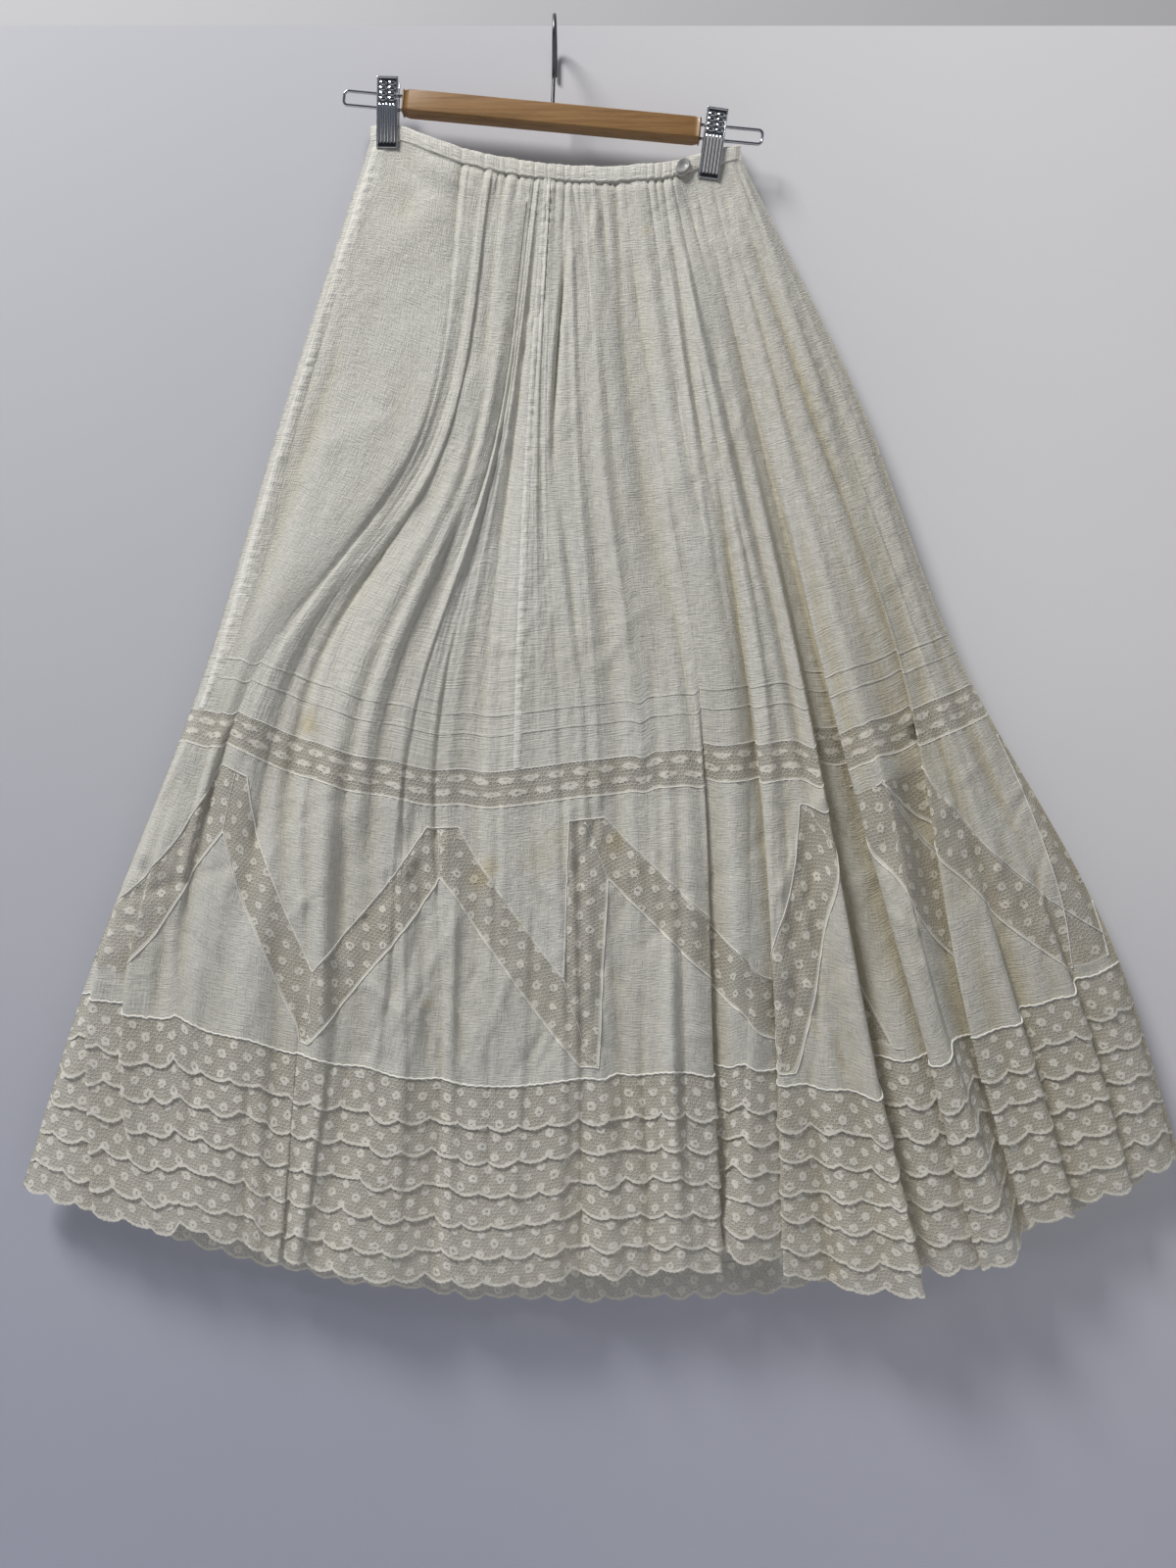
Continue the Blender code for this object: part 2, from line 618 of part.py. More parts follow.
def add_tiers(sheet, side):
    """Lace edging in tiers, each standing out a little over the next one's top."""
    columns = panel_columns(sheet)
    tops = tier_levels()
    for number in range(TIER_COUNT):
        last = number == TIER_COUNT - 1
        top = band_levels(columns, tops[number] + SEAM_GAP / 2)
        bottom = band_levels(columns, tops[number + 1] - SEAM_GAP / 2)
        flare = 0.0 if last else TIER_FLARE
        add_panel(
            f"{side}_tier_{number + 1}", sheet, columns, top, bottom, ONE_ROW, LACE, (0.0, flare)
        )


def add_waistband(front, back):
    """Waistband: a front and a back wall along the waist seam."""
    for sheet, side in ((front, "front"), (back, "back")):
        columns = panel_columns(sheet)
        seam = np.zeros(len(columns))
        rise = np.array([0.0, 0.0, BAND_HEIGHT])
        inner, outer = sheet.raised(columns, seam, 0.0), sheet.raised(columns, seam, WALL)
        add_wall(
            f"waistband_{side}",
            np.stack([inner, inner + rise]),
            np.stack([outer, outer + rise]),
            COTTON,
        )


def band_point(front, x, height, out):
    """A place on the front of the waistband, a height above its seam, moved out."""
    column = np.interp(x, front.tracks[:, 0], np.arange(front.column_count()))
    point = front.raised(np.array([column]), np.zeros(1), WALL + out)[0]
    return point + np.array([0.0, 0.0, height])


def tab_depth(front, x):
    """Depth of the tab's back face, a flat slope that stays in front of the band."""
    start = band_point(front, TAB_START, 0.0, SEAM_GAP)[1]
    end = band_point(front, TAB_END, 0.0, SEAM_GAP)[1]
    return start + (end - start) * (x - TAB_START) / (TAB_END - TAB_START)


def add_tab(front):
    """Pointed end of the band, which laps over its front and carries the button."""
    outline = (
        (TAB_END, 0.6),
        (TAB_END, BAND_HEIGHT - 0.8),
        (TAB_START + 7, BAND_HEIGHT - 1.6),
        (TAB_START, 0.62 * BAND_HEIGHT),
        (TAB_START, 0.3 * BAND_HEIGHT),
        (TAB_START + 6.5, -TAB_DROP),
        (TAB_START + 10, -TAB_DROP),
    )
    inner = []
    for x, height in outline:
        point = band_point(front, x, height, 0.0)
        point[1] = tab_depth(front, point[0])
        inner.append(point)
    outer = [point + np.array([0.0, -WALL, 0.0]) for point in inner]
    count = len(outline)
    faces = [tuple(range(count)), tuple(range(2 * count - 1, count - 1, -1))]
    for i in range(count):
        j = (i + 1) % count
        faces.append((i, i + count, j + count, j))
    add_object("waistband_tab", np.array(inner + outer), faces, COTTON)


def add_button(front):
    """Pearl button: a disc with a raised rim and a sunken middle, flat on the tab."""
    centre = band_point(front, BUTTON_X, 0.36 * BAND_HEIGHT, 0.0)
    thick, radius = BUTTON_THICKNESS, BUTTON_RADIUS
    profile = (
        (0.0, 0.0),
        (0.75 * radius, 0.0),
        (radius, 0.35 * thick),
        (radius, 0.65 * thick),
        (0.82 * radius, thick),
        (0.6 * radius, 0.8 * thick),
        (0.0, 0.55 * thick),
    )
    sides = 24
    vertices, faces, rings = [], [], []
    for r, depth in profile:
        ring = []
        for k in range(sides if r else 1):
            angle = 2 * math.pi * k / sides
            x, z = centre[0] + r * math.cos(angle), centre[2] + r * math.sin(angle)
            ring.append(len(vertices))
            vertices.append((x, tab_depth(front, x) - WALL - SEAM_GAP - depth, z))
        rings.append(ring)
    for a, b in zip(rings, rings[1:]):
        for k in range(sides):
            n = (k + 1) % sides
            if len(a) == 1:
                faces.append((a[0], b[n], b[k]))
            elif len(b) == 1:
                faces.append((a[k], a[n], b[0]))
            else:
                faces.append((a[k], a[n], b[n], b[k]))
    add_object("button", vertices, faces, PEARL, smooth=True)


def tilted(points):
    """Points of the level hanger, turned about the bar's centre to hang as shown."""
    points = np.asarray(points, dtype=float)
    cos, sin = math.cos(TILT), math.sin(TILT)
    x = points[..., 0] * cos + points[..., 2] * sin + BAR_CENTRE_X
    z = -points[..., 0] * sin + points[..., 2] * cos + BAR_CENTRE_Z
    return np.stack([x, points[..., 1], z], axis=-1)


def add_bar():
    """Wooden bar with slightly rounded corners."""
    half_l, half_h, half_d = BAR_LENGTH / 2, BAR_HEIGHT / 2, BAR_DEPTH / 2
    corners = []
    for sz, sx in ((1, 1), (-1, 1), (-1, -1), (1, -1)):
        for first in (True, False):
            flat = (sz * sx > 0) == first
            dz = 0.0 if flat else BAR_ROUND
            dx = BAR_ROUND if flat else 0.0
            corners.append((sx * (half_l - dx), sz * (half_h - dz)))
    count = len(corners)
    vertices, faces = [], []
    flat_d = half_d - BAR_CHAMFER
    for y, shrink in ((-half_d, BAR_CHAMFER), (-flat_d, 0.0), (flat_d, 0.0), (half_d, BAR_CHAMFER)):
        for x, z in corners:
            sx, sz = math.copysign(shrink, x), math.copysign(shrink, z)
            vertices.append((x - sx, y, z - sz))
    for layer in range(3):
        for k in range(count):
            n = (k + 1) % count
            a, b = layer * count, (layer + 1) * count
            faces.append((a + k, a + n, b + n, b + k))
    faces.append(tuple(range(count)))
    faces.append(tuple(range(4 * count - 1, 3 * count - 1, -1)))
    add_object("hanger_bar", tilted(vertices), faces, BEECH)


def add_wire(name, points, radius, sides=10):
    """Round wire along a path of points, its ends closed flat."""
    points = np.asarray(points, dtype=float)
    runs = np.gradient(points, axis=0)
    runs = runs / np.linalg.norm(runs, axis=1, keepdims=True)
    guide = np.array([0.0, 1.0, 0.0]) if np.ptp(points[:, 1]) < 1.0 else np.array([1.0, 0.0, 0.0])
    across = np.cross(runs, guide)
    across = across / np.linalg.norm(across, axis=1, keepdims=True)
    other = np.cross(across, runs)
    angles = 2 * math.pi * np.arange(sides) / sides
    ring = across[:, None] * np.cos(angles)[:, None] + other[:, None] * np.sin(angles)[:, None]
    vertices = (points[:, None] + radius * ring).reshape(-1, 3)
    faces = []
    for r in range(len(points) - 1):
        for k in range(sides):
            n = (k + 1) % sides
            a, b = r * sides, (r + 1) * sides
            faces.append((a + k, a + n, b + n, b + k))
    faces.append(tuple(range(sides)))
    faces.append(tuple(range(len(vertices) - 1, len(vertices) - sides - 1, -1)))
    return add_object(name, vertices, faces, STEEL, smooth=True)


def add_hook():
    """Wire hook: a stem that bows towards the viewer and a crown that turns back."""
    bar_top = tilted((0.0, 0.0, BAR_HEIGHT / 2))
    wire = HOOK_RADIUS + HOOK_WIRE
    points = [(bar_top[0], 0.0, bar_top[2] + SEAM_GAP)]
    for share in np.linspace(0.12, 1.0, 10):
        bow = -wire * ease((share - 0.45) / 0.55)
        height = bar_top[2] + (-HOOK_RADIUS - bar_top[2]) * share
        points.append((bar_top[0] + HOOK_LEAN * share, bow, height))
    for angle in np.linspace(math.radians(168), 0.0, 13):
        y = wire * math.cos(angle)
        points.append((bar_top[0] + HOOK_LEAN, y, -HOOK_RADIUS + wire * math.sin(angle)))
    points.append((bar_top[0] + HOOK_LEAN, wire, -HOOK_RADIUS - HOOK_TIP_DROP / 2))
    points.append((bar_top[0] + HOOK_LEAN, wire, -HOOK_RADIUS - HOOK_TIP_DROP))
    add_wire("hook", points, HOOK_WIRE)


def add_loops():
    """Wire loops out of the bar's ends, two rods and a round end each."""
    for side, name, reach in ((-1, "left_loop", LEFT_LOOP_X), (1, "right_loop", RIGHT_LOOP_X)):
        start = side * (BAR_LENGTH / 2 + SEAM_GAP)
        end = (reach - BAR_CENTRE_X) / math.cos(TILT)
        half = ROD_SPREAD / 2
        points = [(start, 0, half), (0.5 * (start + end), 0, half)]
        for k in range(5):
            angle = 0.5 * math.pi * k / 4
            x = end - side * ROD_CORNER * (1 - math.sin(angle))
            points.append((x, 0, half - ROD_CORNER * (1 - math.cos(angle))))
        for k in range(4, -1, -1):
            angle = 0.5 * math.pi * k / 4
            x = end - side * ROD_CORNER * (1 - math.sin(angle))
            points.append((x, 0, -half + ROD_CORNER * (1 - math.cos(angle))))
        points += [(0.5 * (start + end), 0, -half), (start, 0, -half)]
        add_wire(name, tilted(points), ROD_WIRE)


def clip_frame(clip_x, lean):
    """Maps a clip's own points, origin between the rods, to their place on the loop."""
    local_x = (clip_x - BAR_CENTRE_X) / math.cos(TILT)
    centre = tilted((local_x, 0.0, 0.0))

    def place(points):
        points = np.asarray(points, dtype=float)
        cos, sin = math.cos(lean), math.sin(lean)
        x = points[..., 0] * cos + points[..., 2] * sin
        z = -points[..., 0] * sin + points[..., 2] * cos
        return np.stack([x, points[..., 1], z], axis=-1) + centre

    return place


def add_clip(side, clip_x, lean):
    """Clip: a front and a back jaw of pressed sheet, and the spring between them."""
    place = clip_frame(clip_x, lean)
    spring_radius = ROD_SPREAD / 2 - ROD_WIRE - SEAM_GAP
    inside = spring_radius + SEAM_GAP
    half = CLIP_WIDTH / 2
    top = CLIP_TOP
    bottom = CLIP_TOP - CLIP_HEIGHT
    grip = CLIP_LIP
    stations = (
        (top, inside + 1.2),
        (top - 4.0, inside + 0.2),
        (ROD_SPREAD / 2 + 2.0, inside),
        (-ROD_SPREAD / 2 - 2.0, inside),
        (0.55 * bottom, 0.5 * (inside + grip) + 0.9),
        (bottom + 4.0, grip + 0.9),
        (bottom, grip),
    )
    for jaw, face in (("front", -1.0), ("back", 1.0)):
        vertices, faces = [], []
        for z, depth in stations:
            flange = max(depth - 1.6, grip - 0.2)
            section = (
                (-half, flange),
                (-half, depth + CLIP_SHEET - CLIP_RIM * 0.5),
                (-half + CLIP_RIM, depth + CLIP_SHEET),
                (half - CLIP_RIM, depth + CLIP_SHEET),
                (half, depth + CLIP_SHEET - CLIP_RIM * 0.5),
                (half, flange),
                (half - CLIP_SHEET, flange),
                (half - CLIP_SHEET, max(depth - 0.1, flange + 0.1)),
                (-half + CLIP_SHEET, max(depth - 0.1, flange + 0.1)),
                (-half + CLIP_SHEET, flange),
            )
            vertices += [(x, face * y, z) for x, y in section]
        count = len(section)
        for r in range(len(stations) - 1):
            for k in range(count):
                n = (k + 1) % count
                a, b = r * count, (r + 1) * count
                faces.append((a + k, a + n, b + n, b + k))
        faces.append(tuple(range(count)))
        faces.append(tuple(range(len(vertices) - 1, len(vertices) - count - 1, -1)))
        add_object(f"{side}_clip_{jaw}", place(vertices), faces, STEEL)
    ends = [(-SPRING_LENGTH / 2, 0, 0), (0, 0, 0), (SPRING_LENGTH / 2, 0, 0)]
    along_rods = clip_frame(clip_x, TILT)
    add_wire(f"{side}_clip_spring", along_rods(ends), spring_radius - 0.1, sides=16)


def build():
    remove_old_objects()
    front = Sheet(True, fold_tracks(FRONT_FOLDS, 44.0, 7.0))
    back = Sheet(False, fold_tracks(BACK_FOLDS, 62.0, 12.0))
    add_gores(front, back)
    for sheet, side in ((front, "front"), (back, "back")):
        add_tucks(sheet, side)
        add_lower_cloth(sheet, side)
        add_tiers(sheet, side)
    add_waistband(front, back)
    add_tab(front)
    add_button(front)
    add_bar()
    add_hook()
    add_loops()
    add_clip("left", LEFT_CLIP_X, LEFT_CLIP_LEAN)
    add_clip("right", RIGHT_CLIP_X, RIGHT_CLIP_LEAN)


build()
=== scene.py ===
"""Long lace skirt on a clip hanger: the looks of every piece, and the stage.

Sizes are millimetres in the CAD part's frame: the origin at the seat of the hook, +X
to the viewer's right, +Y to the wall, +Z up. A place on the cloth is a column, which
follows a fold down the skirt, and a level, the length of cloth below the waist seam.
"""
import math
from collections import namedtuple
from functools import lru_cache, partial

import bpy
import numpy as np
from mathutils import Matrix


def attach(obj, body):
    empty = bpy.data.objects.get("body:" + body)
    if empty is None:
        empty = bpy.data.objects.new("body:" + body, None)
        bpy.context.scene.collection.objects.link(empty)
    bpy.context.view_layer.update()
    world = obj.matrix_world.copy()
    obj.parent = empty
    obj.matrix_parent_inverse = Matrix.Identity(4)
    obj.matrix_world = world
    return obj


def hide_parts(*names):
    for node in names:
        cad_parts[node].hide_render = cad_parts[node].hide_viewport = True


bl_info = {
    "name": "Long Lace Skirt",
    "version": (1, 0, 0),
    "blender": (4, 5, 0),
    "location": "3D View > Sidebar > Skirt",
    "description": "Builds a long lace skirt on its clip hanger, with its stage",
    "category": "Object",
}

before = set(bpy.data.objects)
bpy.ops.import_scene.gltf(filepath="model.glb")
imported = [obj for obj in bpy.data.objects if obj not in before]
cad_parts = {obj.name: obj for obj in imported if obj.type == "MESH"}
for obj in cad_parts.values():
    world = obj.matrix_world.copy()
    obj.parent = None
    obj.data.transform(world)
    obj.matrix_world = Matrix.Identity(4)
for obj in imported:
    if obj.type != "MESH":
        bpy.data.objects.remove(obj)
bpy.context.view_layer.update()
MM = 0.001

# Sizes that the cloth shares with the CAD part
LEVELS = (0.0, 230.0, 458.0, 777.0, 953.0)
HEM, FLOUNCE, BACK_LONGER = 953.0, 777.0, 20.0
BAND_HEIGHT = 12.5
TUCK_LEVELS = (458.0, 475.0)
LACE_TOP, LACE_BOTTOM = 506.0, 537.0
ZIG_TOP, ZIG_BOTTOM, ZIG_WIDTH = 556.0, 767.0, 31.0
TIER_COUNT, TIER_FIRST = 6, 36.0
# Where the picture is seen from: across, up, and the distance before the hanger
SIGHT_X, SIGHT_Z, SIGHT_DISTANCE = 28.6, -653.5, 971.0
# The skirt's outline at the five levels
LEFT_EDGE = (-158, -229, -296, -405, -457)
RIGHT_EDGE = (160, 259, 337, 484, 537)
# Height of the waist seam at places across it, left to right
WAIST_X = (-158, -140, -128, -113, -82, -49, -17, 15, 47, 80, 101, 122, 144, 160)
WAIST_Z = (
    -102.5, -101, -102.5, -108.5, -120, -127.7, -132.7, -136, -136.2, -134.2, -132, -127, -121,
    -117.5,
)
SOFTEN = (-6.0, 0.0, 6.0)
# Where the clips press the waist flat: their places, the half width held, the fade
# beside it, the share of depth left, and how far down it reaches
PINCH_PLACES = (-143.0, 132.0)
PINCH_FLAT, PINCH_FADE, PINCH_LEFT, PINCH_DOWN = 17.0, 10.0, 0.1, 26.0
# A swell of the lower front at the right: its lift and place at the levels, and width
BULGE, BULGE_X, BULGE_WIDTH = (0.0, 0.0, 4.0, 14.0, 16.0), (120, 170, 225, 300, 350), 110.0
LEFT_CLIP_X, RIGHT_CLIP_X = -142.5, 137.0
LEFT_CLIP_LEAN, RIGHT_CLIP_LEAN = math.radians(1.0), math.radians(8.0)
# Height of the cloth's shell over the grid, half width of a felled seam, and the level
# that ends a fold which runs on past the hem
SHELL, SEAM_HALF_WIDTH = 0.5, 3.2
NO_END = 3000

# Hanger
TILT = math.radians(5.43)
BAR_LENGTH, BAR_HEIGHT, BAR_DEPTH = 256.0, 18.4, 14.0
BAR_CENTRE_X, BAR_CENTRE_Z = -2.5, -82.0
HOOK_RADIUS, HOOK_WIRE, HOOK_TIP_DROP = 19.0, 1.6, 16.0
ROD_WIRE, ROD_SPREAD, ROD_CORNER = 1.3, 12.0, 3.6
LOOP_REACH = (-180.5, 178.0)
CLIP_WIDTH, CLIP_HEIGHT, CLIP_TOP, CLIP_SHEET, CLIP_LIP = 18.0, 59.0, 18.0, 0.9, 2.2
TAB_START, TAB_END, TAB_DROP = 101.0, 122.0, 3.5
BUTTON_X, BUTTON_RADIUS = 109.5, 6.5
JAW_THICKNESS, COIL_TURNS, COIL_LENGTH, COIL_RADIUS, COIL_WIRE = 0.7, 5.5, 12.0, 3.5, 0.55

# Stage: height of the board's top edge and of the floor, and how far behind the hanger
# the board and the far wall stand
BOARD_TOP, FLOOR, BOARD_BEHIND, WALL_BEHIND = 12.7, -1450.0, 24.0, 420.0

# A fold's place at each level, width at the hem, lift forward, step, lap, and the levels
# where it starts, is full and ends. A lift above 0 is a ridge and below 0 a valley. A
# step above 0 has its left side in front. A lap is how far the front side covers the
# cloth behind it.
Fold = namedtuple(
    "Fold", "waist hip tuck flounce hem width lift step lap start full end", defaults=(NO_END,)
)
FRONT_FOLDS = tuple(Fold(*row) for row in (
    (-150, -222, -290, -396, -394, 5, 0, -5, 4, 600, 780),
    (-145, -214, -281, -369, -360, 6, 0, -5, 3, 560, 760, 930),
    (-139, -196, -272, -350, -340, 12, -4, 0, 0, 80, 300, 600),
    (-80, -120, -252, -325, -320, 24, 4.4, 0, 0, 40, 260, 600),
    (-70, -108, -236, -300, -300, 14, 0, 0.6, 0, 120, 300, 560),
    (-60, -98, -222, -263, -268, 6, -3, 2, 0, 760, 860),
    (-50, -88, -196, -221, -238, 6, -2, 3, 2, 700, 840),
    (-30, -66, -160, -190, -215, 24, 5, 0, 0, 60, 300, 640),
    (-20, -52, -130, -163, -202, 16, -6, 0, 0, 680, 800),
    (-15, -45, -95, -97, -109, 14, -6, 0, 0, 700, 860),
    (-12, -39, -74, -85, -90, 18, -5, -1.4, 0, 40, 300, 640),
    (0, -5, 10, 20, 20, 10, -7, 0, 0, 760, 900), (12, 20, 39, 47, 57, 8, 0, 4, 0, 560, 800),
    (25, 42, 75, 90, 100, 8, 3, 3, 0, 60, 300, 600),
    (58, 86, 122, 133, 140, 8, -3, 11, 6, 300, 760),
    (75, 110, 155, 164, 152, 6, -4, -3, 0, 600, 760),
    (89, 126, 167, 194, 199, 8, -3, -9, 4, 300, 760),
    (100, 140, 188, 218, 241, 10, -8, 0, 0, 700, 880),
    (110, 164, 212, 275, 313, 9, 0, 20, 10, 60, 800),
    (125, 180, 232, 323, 370, 7, 0, -12, 6, 160, 780),
    (131, 197, 255, 340, 395, 7, 0, 9, 3, 420, 800),
    (150, 217, 293, 360, 410, 8, -3, -8, 3, 60, 700),
    (153, 232, 305, 398, 444, 8, 0, 6, 3, 560, 780),
    (156, 245, 322, 445, 493, 8, 0, 6, 2, 620, 800),
))
BACK_FOLDS = tuple(Fold(*row) for row in (
    (-120, -170, -225, -305, -345, 26, -5, 0, 0, 60, 500),
    (-84, -120, -160, -215, -242, 18, 5, 2, 0, 40, 420),
    (-50, -72, -92, -122, -140, 24, -5, 0, 0, 80, 600),
    (-14, -22, -30, -38, -36, 20, 5, -2, 0, 30, 380), (24, 34, 46, 58, 70, 26, -5, 0, 0, 60, 500),
    (60, 88, 118, 152, 168, 18, 5, 2, 0, 90, 560), (92, 140, 184, 246, 272, 24, -5, 0, 0, 50, 480),
    (126, 194, 256, 350, 384, 22, 4, -2, 0, 70, 520),
))
# Creases too fine for the CAD part, in the same columns
FRONT_CREASES = tuple(Fold(*row) for row in (
    (14, -3, 6, 10, 10, 5, -2.2, 3, 0, 40, 120, 290),
    (0, -1, 22, 30, 30, 6, 0, 2.4, 0, 260, 330, 490),
    (56, 92, 126, 140, 145, 7, -2.6, 0, 0, 20, 120, 430),
    (84, 108, 138, 150, 150, 3.4, -1.8, 1.8, 0, 170, 240, 345),
    (105, 138, 166, 190, 200, 7, -5, -2, 0, 150, 320, 620),
    (44, 66, 98, 112, 118, 6, -1.2, 1, 0, 30, 160, 420),
    (-44, -70, -128, -150, -160, 9, -2.2, 0, 0, 10, 150, 420),
    (-100, -150, -262, -330, -330, 9, 1.6, 0, 0, 90, 220, 430),
    (-120, -176, -250, -300, -300, 8, -1.4, 0, 0, 60, 160, 380),
    (70, 100, 132, 150, 150, 5, 1.2, 0, 0, 20, 140, 400),
    (92, 120, 150, 170, 175, 5, 1.6, 1, 0, 20, 140, 440),
    (104, 147, 196, 240, 270, 5, 2.2, 0, 0, 30, 200, 520),
    (120, 172, 226, 300, 340, 6, -2, 1.5, 0, 20, 200, 640),
    (142, 204, 268, 346, 400, 7, 2.4, 0, 0, 20, 220, 700),
    (148, 224, 300, 380, 430, 6, -1.8, 0, 0, 60, 260, 640),
    (-36, -60, -110, -124, -140, 12, 1.8, 0, 0, 520, 700),
    (6, 8, 26, 34, 40, 9, 1.6, 0, 0, 470, 640, 800),
    (-130, -190, -262, -352, -384, 10, 2, 0, 0, 470, 600, 790),
    (-96, -140, -206, -272, -300, 14, 2.4, 0, 0, 520, 700),
    (-64, -96, -150, -206, -226, 9, -1.6, 0, 0, 480, 620, 760),
    (36, 56, 88, 108, 118, 10, 1.8, 0, 0, 500, 660),
    (50, 74, 106, 124, 131, 7, -1.6, 1, 0, 520, 700),
    (98, 146, 196, 262, 300, 7, 1.2, 4, 0, 20, 140, 640),
    (62, 96, 134, 150, 158, 6, 0.8, 2.8, 0, 60, 200, 560),
    (118, 176, 228, 310, 352, 10, -2.6, -2.2, 0, 40, 220, 760),
    (134, 196, 256, 336, 384, 11, 2.4, 2.2, 0, 60, 240, 780),
    (146, 222, 290, 372, 420, 9, -2, -1.8, 0, 40, 200, 760),
))
BACK_CREASES = tuple(Fold(*row) for row in (
    (-100, -146, -192, -262, -296, 12, 2.6, 0, 0, 30, 240),
    (-66, -94, -124, -170, -192, 10, -2.2, 1.5, 0, 20, 200, 700),
    (-30, -46, -60, -80, -88, 9, 2, 0, 0, 20, 160, 620),
    (6, 8, 10, 12, 18, 12, -2.4, 0, 0, 20, 240),
    (44, 62, 84, 106, 120, 10, 2.2, -1, 0, 20, 180, 680),
    (78, 114, 152, 200, 222, 9, -2, 0, 0, 30, 200),
    (110, 168, 222, 300, 330, 11, 2.4, 0, 0, 20, 260, 760),
    (140, 222, 290, 402, 444, 9, -1.8, 0, 0, 60, 320),
))
# How much lower the cloth hangs than its length, as it is cut and gathered unevenly:
# places of a column at each level, then its drop at the hip, tucks, flounce and hem
FRONT_DROPS = (
    (-158, -229, -296, -405, -457, 0, 5, -6, -6), (-140, -180, -225, -300, -335, 2, 18, 18, 20),
    (-100, -130, -156, -215, -244, 4, 11, 14, 20), (-60, -75, -81, -123, -155, 4, 12, 8, 10),
    (-20, -25, -23, -37, -55, 0, 0, 3, 2), (20, 25, 35, 40, 50, -3, -8, -7, -10),
    (70, 85, 113, 127, 155, -5, -16, -10, -13), (95, 125, 160, 172, 190, -6, -17, -9, -16),
    (106, 145, 195, 225, 250, -6, -18, 10, 18), (110, 163, 211, 272, 308, -6, -16, 10, 10),
    (116, 170, 222, 285, 322, -6, -15, -6, 6), (140, 210, 289, 345, 385, -6, -15, -1, 7),
    (150, 240, 325, 400, 425, -6, -15, -9, -11), (160, 259, 337, 484, 537, -6, -15, -17, -14),
)
# Short wrinkles, as lines on the plane of the hanger, with their half width and lift
Wrinkle = namedtuple("Wrinkle", "x0 z0 x1 z1 width lift")
FRONT_WRINKLES = tuple(Wrinkle(*row) for row in (
    (-134, -118, -84, -196, 6, 1.8), (-126, -124, -70, -172, 4, -1.4),
    (-112, -122, -60, -150, 3.5, 1.2), (-140, -170, -100, -132, 5, -1.2),
    (-150, -210, -96, -150, 7, 1.6), (-148, -334, -207, -376, 5, 2.2),
    (-207, -376, -224, -402, 4, 1.6), (-60, -286, -96, -356, 7, 1.6), (30, -236, 22, -300, 5, 1.4),
    (34, -560, 62, -520, 4, 1.8), (62, -520, 72, -560, 4, -1.2), (-228, -836, -150, -826, 4, 1.2),
    (-60, -770, -24, -700, 8, 1.6), (40, -720, 120, -760, 9, 1.4), (84, -640, 122, -700, 9, -1.6),
    (-190, -700, -150, -660, 9, 1.2), (150, -720, 150, -900, 5, -1.6),
    (160, -740, 166, -930, 5, 1.6),
))

# Centre lines of the zigzag lace that show on the front: the share of its width that
# shows, the places across at mid height between which no fold hides it, then places
# across and levels by turns
ZIG_HIGH, ZIG_LOW = 568.4, 739.1
ALL = (-3000, 3000)
ZIG_FRONT = (
    (1.1, ALL, -398, 748, -276, ZIG_HIGH, -210, ZIG_LOW, -99, ZIG_HIGH, 22, ZIG_LOW, 30,
     ZIG_HIGH, 196, ZIG_LOW, 222, ZIG_HIGH, 236, ZIG_HIGH),
    (0.75, (253, 3000), 226, 620, 292, 800),
    (0.9, (253, 332), 256, 540, 338, 690, 360, 730),
    (1.0, ALL, 288, 540, 460, 762),
    (0.6, ALL, 464, 775, 424, 540),
)
ZIG_OVER_EDGE, MITRE_REACH, ZIG_BACK_PERIODS = 8.0, 50.0, 5.5

# A side of the skirt: columns holds the widest and least distance between its folds'
# columns and the spacing of those between them, step its levels' distance, counts how
# many streaks, pleats, wrinkles and flounce wrinkles it has, and gathered where its
# gathers start
Side = namedtuple("Side", "name folds creases drops depth columns step counts seams gores gathered")
SIDES = (
    Side(
        "front", FRONT_FOLDS, FRONT_CREASES, FRONT_DROPS, (4.0, 9.0, 14.0, 20.0, 24.0),
        (44.0, 7.0, 2.4), 4.0, (150, 54, 320, 200), (-286.0, -31.0),
        ("side_gore", "left_gore", "right_gore"), -79.0,
    ),
    Side(
        "back", BACK_FOLDS, BACK_CREASES, (FRONT_DROPS[0], FRONT_DROPS[-1]),
        (3.0, 6.0, 8.0, 9.0, 10.0), (62.0, 12.0, 4.6), 7.0, (80, 16, 130, 70), (32.0,),
        ("left_gore", "right_gore"), -150.0,
    ),
)

# Sizes and colours that a user would change


def amount(name, description, default, least, most, unit="NONE"):
    """A size or share with its bounds."""
    return bpy.props.FloatProperty(
        name=name, description=description, default=default, min=least, max=most, unit=unit
    )


def colour(name, thing, default):
    """A colour, as sRGB hex."""
    return bpy.props.StringProperty(
        name=name, description=f"Colour of {thing}, sRGB hex", default=default
    )


